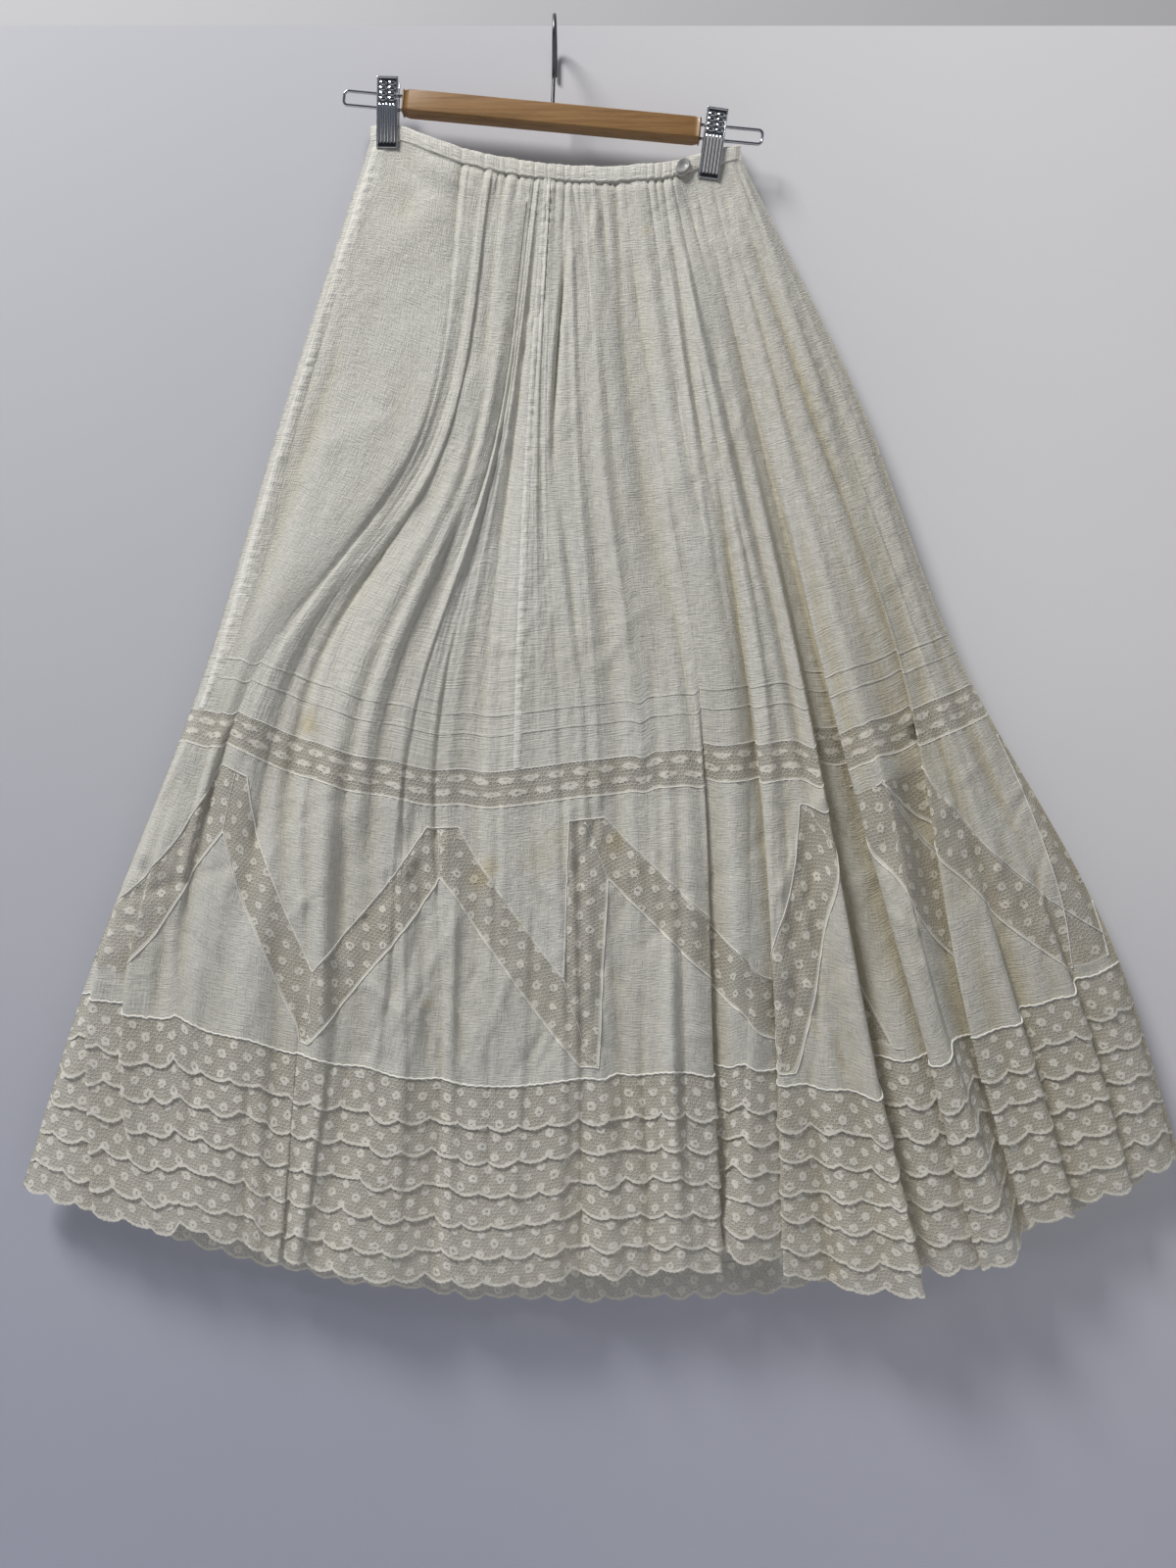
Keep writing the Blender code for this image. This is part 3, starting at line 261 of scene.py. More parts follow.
class SkirtCloth(bpy.types.PropertyGroup):
    """Sizes and colours of the cloth and its lace."""

    crumple: amount("Crumple", "Height of the lawn's small crumples, in millimetres", 0.16, 0, 2)
    gather: amount("Gathers", "Depth of the gathers at the waist, in millimetres", 3.4, 0, 6)
    streaks: amount("Streaks", "Strength of the soft folds that fan out down it", 1.6, 0, 3)
    pleats: amount("Pleats", "Depth of the crisp pleats, as a multiple", 1.0, 0, 3)
    wrinkles: amount("Wrinkles", "Height of the short creases, in millimetres", 1.05, 0, 2)
    net_cell: amount("Net Cell", "Width of one mesh of the net", 0.0036, 0.001, 0.01, "LENGTH")
    veil: amount("Net Veil", "How much a hole of the net still covers", 0.6, 0, 1)
    scallop: amount("Scallop", "Length of one scallop", 0.026, 0.01, 0.06, "LENGTH")
    scallop_depth: amount("Scallop Depth", "Height of a scallop", 0.0054, 0, 0.02, "LENGTH")
    lawn: colour("Lawn", "the cotton lawn", "D6D5CE")
    thread: colour("Lace Thread", "the lace net", "D8D4C9")
    motif: colour("Lace Motif", "the dense lace", "EBE9E2")
    band: colour("Band", "the waistband and seams, in double cloth", "E8E7E0")
    # colour of the real yellowing, and of the painted shade in folds and creases
    aged: colour("Yellowing And Fold Shade", "the yellowing and painted fold shade", "BFB391")
    stain: colour("Stains", "the stains", "C8B88A")


class SkirtHanger(bpy.types.PropertyGroup):
    """Colours of the hanger."""

    beech: colour("Beech", "the bar", "9C774A")
    grain: colour("Grain", "the bar's grain", "77542C")


class SkirtStage(bpy.types.PropertyGroup):
    """Colour and light of the stage."""

    board: colour("Board", "the pale board", "CBCCD2")
    key: amount("Key Light", "Power of the large lamp, in watts", 92.0, 0, 1000)


# The cloth's surface


def ease(value):
    """Smooth rise from 0 to 1: 3 squares less 2 cubes."""
    value = np.clip(value, 0.0, 1.0)
    return value * value * (3.0 - 2.0 * value)


def down(values, level):
    """Sizes given at the five levels (last axis), read at any level.

    Between two levels it is the cubic with the table's slopes at both, and it runs on
    straight below the hem.
    """
    levels, values = np.asarray(LEVELS), np.asarray(values, dtype=float)
    level = np.clip(np.asarray(level, dtype=float), levels[0], levels[-1] + 40.0)
    shape = np.broadcast_shapes(values.shape[:-1], level.shape)
    level = np.broadcast_to(level, shape)
    slopes = np.broadcast_to(np.gradient(values, levels, axis=-1), shape + levels.shape)
    values = np.broadcast_to(values, shape + levels.shape)
    i = np.clip(np.searchsorted(levels, level, side="right") - 1, 0, len(levels) - 2)
    span = levels[i + 1] - levels[i]
    t = np.minimum((level - levels[i]) / span, 1.0)
    (value_0, value_1), (slope_0, slope_1) = (
        [np.take_along_axis(table, k[..., None], -1)[..., 0] for k in (i, i + 1)]
        for table in (values, slopes)
    )
    curve = value_0 + (value_1 - value_0) * ease(t)
    curve = curve + span * (t * (1 - t) ** 2 * slope_0 + t * t * (t - 1) * slope_1)
    return curve + np.maximum(level - levels[-1], 0.0) * slopes[..., -1]


def fold_width(fold, level):
    """Width of a fold, which grows evenly down the cloth from 0.3 of that at the hem."""
    return fold.width * (0.3 + 0.7 * np.clip(level, 0, HEM) / HEM)


def fold_shift(folds, x, level):
    """Sideways and forward shift of the cloth by its folds.

    With t the distance from a fold in its widths, a ridge or valley is the bell
    exp(-t*t/2), and a step is the odd curve t*exp(-t*t/2), forward on one side and back
    on the other. The same odd curve sideways laps the cloth over itself.
    """
    side, forward = np.zeros_like(x), np.zeros_like(x)
    for fold in folds:
        width = fold_width(fold, level)
        t = (x - down(fold[:5], level)) / width
        bell = np.exp(-0.5 * t * t)
        size = ease((level - fold.start) / (fold.full - fold.start))
        size = size * (1.0 - ease((level - fold.end) / 120.0 + 1.0))
        forward = forward + size * (fold.lift - fold.step * t) * bell
        if fold.lap:
            pull = (0.5 * fold.lap + 0.75 * width) / 0.566
            side = side - size * pull * t * bell
    edges = np.minimum(x - down(LEFT_EDGE, level), down(RIGHT_EDGE, level) - x)
    mask = 1.0 - np.exp(-((np.maximum(edges, 0.0) / 6.0) ** 2))
    return side * mask, forward * mask


def waist_height(x):
    """Height of the waist seam: its table read straight, softened over a few millimetres."""
    return sum(np.interp(x + shift, WAIST_X, WAIST_Z) for shift in SOFTEN) / len(SOFTEN)


def extra_drop(table, x, level):
    """How much lower the cloth hangs, read straight between the columns of its table."""
    table = np.array(table, dtype=float)
    at = np.broadcast_to(level[..., None], level.shape + (len(table),))
    places = down(table[:, :5], at)
    drops = down(np.column_stack([np.zeros(len(table)), table[:, 5:]]), at)
    total = np.zeros_like(x)
    for shift in SOFTEN:
        share = (x[..., None] + shift - places[..., :-1]) / np.diff(places, axis=-1)
        total += drops[..., 0] + (np.clip(share, 0.0, 1.0) * np.diff(drops, axis=-1)).sum(axis=-1)
    return total / len(SOFTEN)


def pinch(x, level):
    """How far the cloth still stands out where the clips press it, 1 away from them."""
    held = np.zeros_like(x)
    for place in PINCH_PLACES:
        away = np.maximum(np.abs(x - place) - PINCH_FLAT, 0.0) / PINCH_FADE
        held = np.maximum(held, np.exp(-away * away))
    return 1.0 - (1.0 - PINCH_LEFT) * (held * (1.0 - ease((level - PINCH_DOWN) / 60.0)))


def column_tracks(folds, widest, least, spacing):
    """Columns that follow the folds down the cloth, with enough between to draw them round."""
    left, right = np.asarray(LEFT_EDGE, float), np.asarray(RIGHT_EDGE, float)
    tracks = []
    for fold in folds:
        for side in (-1.0, 1.0) if fold.lap else (0.0,):
            track = np.asarray(fold[:5], float) + side * fold_width(fold, np.asarray(LEVELS))
            tracks.append(np.clip(track, left + 1, right - 1))
    tracks.sort(key=lambda row: row[3])
    kept = [left]
    for row in tracks:
        if row[3] - kept[-1][3] >= least and right[3] - row[3] >= least:
            kept.append(row)
    filled = [left]
    for row in kept[1:] + [right]:
        before = filled[-1]
        parts = int(math.ceil((row[3] - before[3]) / widest))
        filled += [before + (row - before) * k / parts for k in range(1, parts + 1)]
    filled, apart = np.array(filled), 1.8
    for i in range(1, len(filled)):
        filled[i] = np.maximum(filled[i], filled[i - 1] + apart)
    filled[-1] = right
    for i in range(len(filled) - 2, 0, -1):
        filled[i] = np.minimum(filled[i], filled[i + 1] - apart)
    counts = np.maximum(np.ceil(np.diff(filled[:, 4]) / spacing).astype(int), 4)
    fine = [
        first + (second - first) * (np.arange(count) / count)[:, None]
        for first, second, count in zip(filled, filled[1:], counts)
    ]
    return np.concatenate(fine + [filled[-1:]])


def log_uniform(rng, least, most):
    """A random length, as likely in each octave."""
    return math.exp(rng.uniform(math.log(least), math.log(most)))


def waves(u, v, seed, count=14):
    """Soft crumple: the mean of sines in random directions and lengths, taller than wide."""
    rng = np.random.default_rng(seed)
    total = np.zeros_like(u)
    for _ in range(count):
        length, turn = log_uniform(rng, 9.0, 46.0), rng.normal(0.0, 0.55)
        phase = rng.uniform(0, math.tau)
        along = (u * math.cos(turn) + v * 0.6 * math.sin(turn)) * math.tau / length
        total += np.sin(along + phase + 0.8 * np.sin(v / length * 1.7 + phase))
    return total / math.sqrt(count)


def streaks(fan, level, seed, count):
    """Long folds that fan out down the cloth, as flat planes with crisp borders.

    fan is each column's place at the tucks. Each fold is a ridge or trough with straight
    sides, 1-|t| across, its crest and feet rounded a little. It drifts sideways, and
    rises and dies out along a stretch of its own.
    """
    rng = np.random.default_rng(seed)
    total = np.zeros_like(fan)
    for place in np.linspace(fan.min() + 6, fan.max() - 6, count) + rng.uniform(-7, 7, count):
        width = log_uniform(rng, 3.5, 20.0)
        start, long = rng.uniform(-160.0, 780.0), rng.uniform(200.0, 620.0)
        drift = rng.normal(0.0, 9.0)
        share = np.clip((level - start) / long, 0.0, 1.0)
        t = (fan - place - drift * (share - 0.5)) / width
        size = rng.choice((-1.0, 1.0)) * rng.uniform(0.35, 1.0) * 0.2 * width
        side = np.clip(1.0 - np.sqrt(t * t + 0.006), 0.0, None)
        total += size * np.clip(5.0 * share * (1.0 - share), 0, 1) * side * side / (side + 0.08)
    return total * np.clip(0.6 + level / 400.0, 0.0, 1.0)


def pleats(fan, level, seed, count):
    """Crisp pleats: t runs from 0 to 1 across each, its height is t, cut off at once at 1."""
    rng = np.random.default_rng(seed)
    total, edge = np.zeros_like(fan), 2.4
    for _ in range(count):
        place = rng.choice([rng.uniform(*part) for part in ((40, 330), (40, 330), (-230, 40))])
        width, drop = rng.uniform(9.0, 26.0), rng.uniform(0.9, 2.1)
        start, long = rng.uniform(-260.0, 560.0), rng.uniform(300.0, 760.0)
        drift, turn = rng.normal(0.0, 12.0), rng.choice((1.0, 1.0, -1.0))
        share = np.clip((level - start) / long, 0.0, 1.0)
        away = turn * (fan - place - drift * (share - 0.5))
        fall = np.clip((width - away) / edge + 1.0, 0.0, 1.0)
        size = drop * np.clip(6.0 * share * (1.0 - share), 0, 1)
        total += size * np.clip(away / width, 0.0, 1.0) * fall
    return total


def bump_line(x, z, line):
    """Height of a short wrinkle: crisp, exp(-|t|**1.4) across, and nothing at both ends."""
    dx, dz = line.x1 - line.x0, line.z1 - line.z0
    length = math.hypot(dx, dz)
    along = ((x - line.x0) * dx + (z - line.z0) * dz) / length**2
    across = ((x - line.x0) * dz - (z - line.z0) * dx) / length
    ends = np.clip(4.0 * along * (1.0 - along), 0.0, 1.0) ** 0.7
    return line.lift * ends * np.exp(-np.abs(across / (1.3 * line.width)) ** 1.4)


def random_wrinkles(x, z, seed, count, rows, least, most):
    """Short creases strewn over the cloth, as bump lines at random places and leans."""
    rng = np.random.default_rng(seed)
    total = np.zeros_like(x)
    for _ in range(count):
        row, column = rng.integers(*rows), rng.integers(0, x.shape[1])
        lean = rng.normal(math.radians(90), math.radians(30))
        half = 0.5 * rng.uniform(least, most)
        dx, dz = half * math.cos(lean), half * math.sin(lean)
        x0, z0 = x[row, column], z[row, column]
        lift = rng.choice((-1.0, 1.0)) * rng.uniform(0.3, 1.0)
        line = Wrinkle(x0 - dx, z0 - dz, x0 + dx, z0 + dz, rng.uniform(1.8, 4.5), lift)
        total += bump_line(x, z, line)
    return total


class Cloth:
    """Front or back of the skirt as one fine grid of points, read by every piece of it.

    Rows are levels and columns follow the folds. point, normal and run hold each grid
    point's place, outward direction and length across from the left edge. Each point
    stands forward by the sum of its depth, folds and fine relief, and spreads from the
    point of sight with its distance.
    """

    def __init__(self, side, settings):
        self.side, self.name, self.number = side, side.name, SIDES.index(side)
        self.front = self.number == 0
        self.turn = 1.0 if self.front else -1.0
        tracks = column_tracks(side.folds, *side.columns)
        lower = np.arange(40.0, HEM + 8.0, side.step)
        self.levels = np.concatenate([np.arange(0.0, 40.0, 2.0), lower])
        level = np.broadcast_to(self.levels[:, None], (len(self.levels), len(tracks)))
        x = self.across = down(tracks[None], level)
        self.last = x.shape[1] - 1
        first, last = down(LEFT_EDGE, level), down(RIGHT_EDGE, level)
        t = np.clip((x - first) / (last - first) * 2.0 - 1.0, -1.0, 1.0)
        round_edge = (1.0 - t**4) ** 0.6
        edges = np.minimum(x - first, last - x)
        self.fade = 1.0 - np.exp(-((np.maximum(edges, 0.0) / 4.0) ** 2))
        drop, shift = np.diff(level, axis=0), np.diff(x, axis=0)
        fall = np.zeros_like(x)
        fall[1:] = np.cumsum(np.sqrt(np.maximum(drop**2 - shift**2, 0.0)), axis=0)
        fall = fall + extra_drop(side.drops, x, level)
        sideways, forward = fold_shift(side.folds, x, level)
        depth = down(side.depth, level) * round_edge * pinch(x, level)
        held = pinch(x, level) ** 2
        seen_z = waist_height(x[:1]) - fall
        fan = np.broadcast_to(down(tracks, TUCK_LEVELS[0]), x.shape)
        loose = np.maximum(held, ease((level - 12.0) / 30.0))
        free = ease(level / 5.0) * loose * self.fade
        fine = 1.35 * fold_shift(side.creases, x, level)[1] * loose
        fine += self.gathers(x, level, settings.gather) * loose
        fine += self.relief(x, seen_z, level, fan, settings) * free
        # the cloth sinks under the band before it swells out
        fine -= 1.7 * np.exp(-(((level - 3.0) / 3.0) ** 2)) * held * self.fade
        if self.front:
            for line in FRONT_WRINKLES:
                fine += bump_line(x, seen_z, line) * self.fade
            bell = np.exp(-(((x - down(BULGE_X, level)) / BULGE_WIDTH) ** 2))
            bulge = down(BULGE, level) * bell * round_edge
            fall = fall + forward + bulge
            body = 0.2 * self.fade + depth + bulge + forward
            swell = 0.5 * (body + np.sqrt(body**2 + 1.0))
            y = -np.maximum(swell + 0.9 * free + fine, 0.0) * self.fade
        else:
            fall = fall + BACK_LONGER * ease(level / LACE_TOP) * (1.0 - t**4)
            y = np.maximum(0.2 * self.fade + depth + forward + fine, 0.0)
        share = (SIGHT_DISTANCE + y) / SIGHT_DISTANCE
        shown_x = SIGHT_X + (x + sideways - SIGHT_X) * share
        shown_z = SIGHT_Z + (waist_height(x[:1]) - fall - SIGHT_Z) * share
        self.point = np.stack([shown_x, y, shown_z], axis=-1)
        normal = np.cross(*(np.gradient(self.point, axis=axis) for axis in (0, 1))) * self.turn
        self.normal = normal / np.maximum(np.linalg.norm(normal, axis=-1, keepdims=True), 1e-9)
        runs = np.linalg.norm(np.diff(self.point, axis=1), axis=-1)
        self.run = np.pad(np.cumsum(runs, axis=1), ((0, 0), (1, 0)))
        # tint of each point: real yellowing towards the right, and painted shade in folds and
        # creases
        self.aged = self.valleys(y)

    def relief(self, x, z, level, fan, settings):
        """Crumples, streaks, pleats, wrinkles and puckers, added up.

        Streaks are crisper towards both sides and below the straight lace, and the
        flounce has longer wrinkles of its own.
        """
        many_streaks, many_pleats, many_wrinkles, many_lower = self.side.counts
        right, left = ease((x - 40.0) / 70.0), 1.0 - ease((x + 140.0) / 70.0)
        crisp = 0.75 + 0.9 * np.maximum(right, 0.7 * left) + 0.6 * ease((level - LACE_TOP) / 40.0)
        total = settings.crumple * waves(x, level, 11 + self.number)
        total += settings.streaks * streaks(fan, level, 21 + self.number, many_streaks) * crisp
        total += settings.pleats * pleats(fan, level, 25 + self.number, many_pleats)
        rows = (0, len(self.levels))
        total += settings.wrinkles * random_wrinkles(x, z, 31, many_wrinkles, rows, 18.0, 90.0)
        rows = (int(self.row(LACE_BOTTOM + 10)), int(self.row(FLOUNCE - 10)))
        lower = ease((level - LACE_BOTTOM) / 12.0) * (1.0 - ease((level - FLOUNCE + 12.0) / 12.0))
        long = random_wrinkles(x, z, 33, many_lower, rows, 30.0, 140.0)
        return total + 2.1 * settings.wrinkles * long * lower + self.seam_pucker(x, level)

    def seam_pucker(self, x, level):
        """Short puckers square to the felled seams: a sine down each, dying out sideways."""
        total = np.zeros_like(x)
        for place in self.side.seams:
            column = int(round(float(self.column(place, TUCK_LEVELS[0]))))
            away = x - x[:, column : column + 1]
            wave = np.sin(level * math.tau / 8.7 + 1.9 * np.sin(level / 23.0) + 0.15 * away)
            total += 0.42 * wave * np.exp(-((away / 6.0) ** 2))
        return total

    def gathers(self, x, level, depth):
        """Gathers at the waist: narrow valleys that widen and fade down the cloth."""
        rng = np.random.default_rng(5 + self.number)
        total = np.zeros_like(x)
        place = self.side.gathered
        while place < 156.0:
            column = np.interp(place, x[0], np.arange(x.shape[1]))
            low = int(min(column, x.shape[1] - 2))
            track = x[:, low] * (1 - (column - low)) + x[:, low + 1] * (column - low)
            width = 1.0 + rng.uniform(0.004, 0.022) * level
            length = log_uniform(rng, 14.0, 150.0)
            size = depth * rng.uniform(0.35, 1.3) * np.exp(-((level / length) ** 1.2))
            lean = rng.normal(0.0, 0.05) * level
            across = np.abs((x - track[:, None] - lean) / (1.3 * width))
            total -= size * ease(level / 4.0) * np.exp(-(across**1.3))
            sparse = self.front and place < -12.0
            place += rng.uniform(6.0, 13.0) if sparse else rng.uniform(3.8, 8.0)
        return total

    def valleys(self, y):
        """How far the cloth turns yellower and darker: real yellowing towards the right, and
        painted shade in deep folds and creases, strongest towards the right.

        A valley is how far a point lies behind the mean of the points on both sides.
        """
        found = []
        for window, deep in (33, 7.0), (7, 1.1):
            pad = window // 2
            sums = np.cumsum(np.pad(y, ((0, 0), (pad + 1, pad)), mode="edge"), axis=1)
            mean = (sums[:, window:] - sums[:, :-window]) / window
            found.append(np.clip((y - mean) * self.turn / deep, 0.0, 1.0))
        right = ease((self.across - 90.0) / 200.0) * ease(self.levels[:, None] / 200.0)
        return np.clip((found[0] + 0.55 * found[1]) * (0.3 + 0.7 * right) + 0.2 * right, 0.0, 1.0)

    def row(self, level):
        """Row of a level."""
        return np.interp(level, self.levels, np.arange(len(self.levels)))

    def near_row(self, level):
        """Nearest whole row to a level."""
        return int(round(float(self.row(level))))

    def column(self, x, level):
        """Column that passes a place across the hanger's plane at a level."""
        return np.interp(x, self.across[self.near_row(level)], np.arange(self.last + 1))

    def column_of_run(self, run, level):
        """Column at a length across the cloth from its left edge, at a level."""
        return np.interp(run, self.run[self.near_row(level)], np.arange(self.last + 1))

    def read(self, field, row, column):
        """A field of the grid between its points, by straight interpolation both ways."""
        row, column = np.broadcast_arrays(np.asarray(row, float), np.asarray(column, float))
        r = np.clip(np.floor(row).astype(int), 0, field.shape[0] - 2)
        c = np.clip(np.floor(column).astype(int), 0, field.shape[1] - 2)
        a, b = row - r, column - c
        if field.ndim == 3:
            a, b = a[..., None], b[..., None]
        top = field[r, c] * (1 - b) + field[r, c + 1] * b
        low = field[r + 1, c] * (1 - b) + field[r + 1, c + 1] * b
        return top * (1 - a) + low * a

    def place(self, row, column, height):
        """Points a height above the cloth, at grid rows and columns."""
        lift = (np.asarray(height) * self.read(self.fade, row, column))[..., None]
        return self.read(self.point, row, column) + self.read(self.normal, row, column) * lift


@lru_cache
def sheets():
    """The front and back grids, worked out once."""
    return [Cloth(side, bpy.context.scene.skirt_cloth) for side in SIDES]


# Meshes


def grid_faces(rows, columns, turn=1.0, closed=False):
    """Quads of a grid of points, row by row; closed joins the last column to the first."""
    index = np.arange(rows * columns).reshape(rows, columns)
    if closed:
        index = np.concatenate([index, index[:, :1]], axis=1)
    quads = np.stack([index[:-1, :-1], index[1:, :-1], index[1:, 1:], index[:-1, 1:]], axis=-1)
    quads = quads.reshape(-1, 4)
    return (quads if turn > 0 else quads[:, ::-1]).tolist()


def tube_faces(rows, sides, turn=1.0):
    """Quads round a tube of rings and its two flat ends."""
    faces = grid_faces(rows, sides, turn, closed=True)
    return faces + [list(range(sides)), list(range(rows * sides - 1, (rows - 1) * sides - 1, -1))]


def add_mesh(name, points, faces, finish, flat=None, smooth=True, **marks):
    """A mesh from points in millimetres and faces, with a UV map and point attributes.

    flat is each point's place in the cut cloth, in metres, and marks the named numbers
    at each point that the materials read.
    """
    mesh = bpy.data.meshes.new(name)
    mesh.from_pydata((np.reshape(points, (-1, 3)) * MM).tolist(), [], faces)
    if flat is not None:
        corners = np.empty(len(mesh.loops), dtype=np.int32)
        mesh.loops.foreach_get("vertex_index", corners)
        layer = mesh.uv_layers.new(name="flat")
        layer.data.foreach_set("uv", np.reshape(flat, (-1, 2))[corners].ravel())
    for key, values in marks.items():
        attribute = mesh.attributes.new(key, "FLOAT", "POINT")
        attribute.data.foreach_set("value", np.ravel(values))
    mesh.materials.append(finish_of(finish))
    mesh.polygons.foreach_set("use_smooth", [smooth] * len(mesh.polygons))
    mesh.update()
    obj = bpy.data.objects.new(name, mesh)
    bpy.context.scene.collection.objects.link(obj)
    return obj


def add_piece(name, nodes, points, faces, finish, flat=None, **marks):
    """A mesh on the skirt's one body, that stands for its CAD nodes."""
    obj = add_mesh(name, points, faces, finish, flat, **marks)
    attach(obj, "root")
    if nodes:
        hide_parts(*nodes)
    return obj


def tube(path, radius, sides):
    """Points and faces of a round cord along a path: a circle square to it at each point."""
    path = np.asarray(path, float)
    tangent = unit(np.gradient(path, axis=0))
    first = unit(np.cross(tangent, np.eye(3)[np.ptp(path, axis=0).argmin()]))
    second = np.cross(tangent, first)
    angle = math.tau * np.arange(sides)[:, None] / sides
    ring = first[:, None] * np.cos(angle) + second[:, None] * np.sin(angle)
    radius = np.broadcast_to(np.asarray(radius, float), (len(path),))[:, None, None]
    return (path[:, None] + radius * ring).reshape(-1, 3), tube_faces(len(path), sides)


def unit(vectors):
    """Vectors at length 1."""
    return vectors / np.maximum(np.linalg.norm(vectors, axis=-1, keepdims=True), 1e-9)


def join_parts(parts):
    """Several meshes as one: each a list of faces, its points and other rows of a point."""
    faces, start = [], 0
    for part in parts:
        faces += [[i + start for i in face] for face in part[0]]
        start += len(part[1])
    return faces, *(np.concatenate(rows) for rows in zip(*(part[1:] for part in parts)))


def cut_grid(field):
    """The part of a grid where a field is above 0, cut along the line where it is 0.

    Each cell keeps the corners above 0 and the points where the field crosses 0 on its
    sides, found by straight interpolation. Gives rows, columns and faces.
    """
    rows, columns = field.shape
    corner = np.arange(rows * columns).reshape(rows, columns)
    row, column = np.divmod(corner.astype(float), columns)
    with np.errstate(divide="ignore", invalid="ignore"):
        right = np.clip(field[:, :-1] / (field[:, :-1] - field[:, 1:]), 0.0, 1.0)
        lower = np.clip(field[:-1] / (field[:-1] - field[1:]), 0.0, 1.0)
    right, lower = np.nan_to_num(right), np.nan_to_num(lower)
    all_rows = [row, row[:, :-1], row[:-1] + lower]
    all_columns = [column, column[:, :-1] + right, column[:-1]]
    across = corner.size + np.arange(right.size).reshape(right.shape)
    downward = corner.size + right.size + np.arange(lower.size).reshape(lower.shape)
    corners = (corner[:-1, :-1], corner[1:, :-1], corner[1:, 1:], corner[:-1, 1:])
    sides = (downward[:, :-1], across[1:], downward[:, 1:], across[:-1])
    inside = field.ravel() > 0
    case = sum(inside[index].astype(int) << k for k, index in enumerate(corners))
    faces = []
    for number in range(1, 16):
        cells = case == number
        turn = []
        for k in range(4):
            if number >> k & 1:
                turn.append(corners[k][cells])
            if (number >> k & 1) != (number >> (k + 1) % 4 & 1):
                turn.append(sides[k][cells])
        faces += np.stack(turn, axis=1).tolist()
    used, where = np.unique(np.concatenate(faces), return_inverse=True)
    ends = np.cumsum([0] + [len(face) for face in faces])
    where = where.tolist()
    faces = [where[a:b] for a, b in zip(ends, ends[1:])]
    rows, columns = (np.concatenate([a.ravel() for a in s]) for s in (all_rows, all_columns))
    return rows[used], columns[used], faces


# Materials


def linear(hex_colour):
    """An sRGB hex colour as linear red, green, blue and alpha."""
    parts = np.array([int(hex_colour[i : i + 2], 16) for i in (0, 2, 4)]) / 255.0
    parts = np.where(parts <= 0.04045, parts / 12.92, ((parts + 0.055) / 1.055) ** 2.4)
    return (*map(float, parts), 1.0)


def put(socket, value):
    """Links a socket to another one, or sets its value."""
    if isinstance(value, bpy.types.NodeSocket):
        socket.id_data.links.new(value, socket)
    else:
        socket.default_value = value


def add_node(tree, kind, *values, out=None, **named):
    """Adds a node and gives its output by name, or the first one in use.

    A second word of kind is its operation. Values go to its inputs in use by turns. A
    name in small letters is a setting, and one with a capital an input.
    """
    kind, *operation = kind.split()
    made = tree.nodes.new("ShaderNode" + kind)
    if operation:
        made.operation = operation[0]
    for name, value in named.items():
        if name.islower():
            setattr(made, name, value)
        else:
            put(made.inputs[name], value)
    for socket, value in zip([s for s in made.inputs if s.enabled], values):
        put(socket, value)
    return made.outputs[out] if out else next(s for s in made.outputs if s.enabled)


COLOURS = {"data_type": "RGBA"}
SMOOTH = {"interpolation_type": "SMOOTHSTEP"}


def new_material(name):
    """An empty material, and the function that adds nodes to it."""
    made = bpy.data.materials.new(name)
    made.use_nodes = True
    return made, partial(add_node, made.node_tree)


def shade(made, **sockets):
    """Sets and links the inputs of a material's own shader, _ for a space, and gives it."""
    for name, value in sockets.items():
        put(made.node_tree.nodes["Principled BSDF"].inputs[name.replace("_", " ")], value)
    return made


# Stains on the front: x, y, z, radius and strength
SPOTS = (
    (-208, -14, -603, 11, 0.5), (-206, -14, -592, 7, 0.3), (-64, -20, -733, 12, 0.55),
    (-54, -20, -722, 10, 0.4), (50, -19, -705, 11, 0.4), (55, -19, -696, 6, 0.7),
    (-10, -17, -714, 26, 0.16), (8, -17, -694, 14, 0.14), (-106, -18, -838, 6, 0.4),
    (96, -18, -679, 5, 0.3), (78, -7, -182, 5, 0.35), (-30, -18, -770, 5, 0.25),
)


def stained(add, colour, stain, noise):
    """Mixes the stain colour into a colour around each spot, its rim made ragged by noise."""
    place = add("TexCoord", out="Object")
    for *centre, radius, strength in SPOTS:
        away = add("VectorMath DISTANCE", place, tuple(v * MM for v in centre))
        ragged = add("Math MULTIPLY_ADD", noise, 0.9 * radius * MM, away)
        size = (0.7 * radius * MM, 1.7 * radius * MM)
        mask = add("MapRange", ragged, *size, strength, 0.0, **SMOOTH)
        colour = add("Mix", mask, colour, stain, **COLOURS)
    return colour


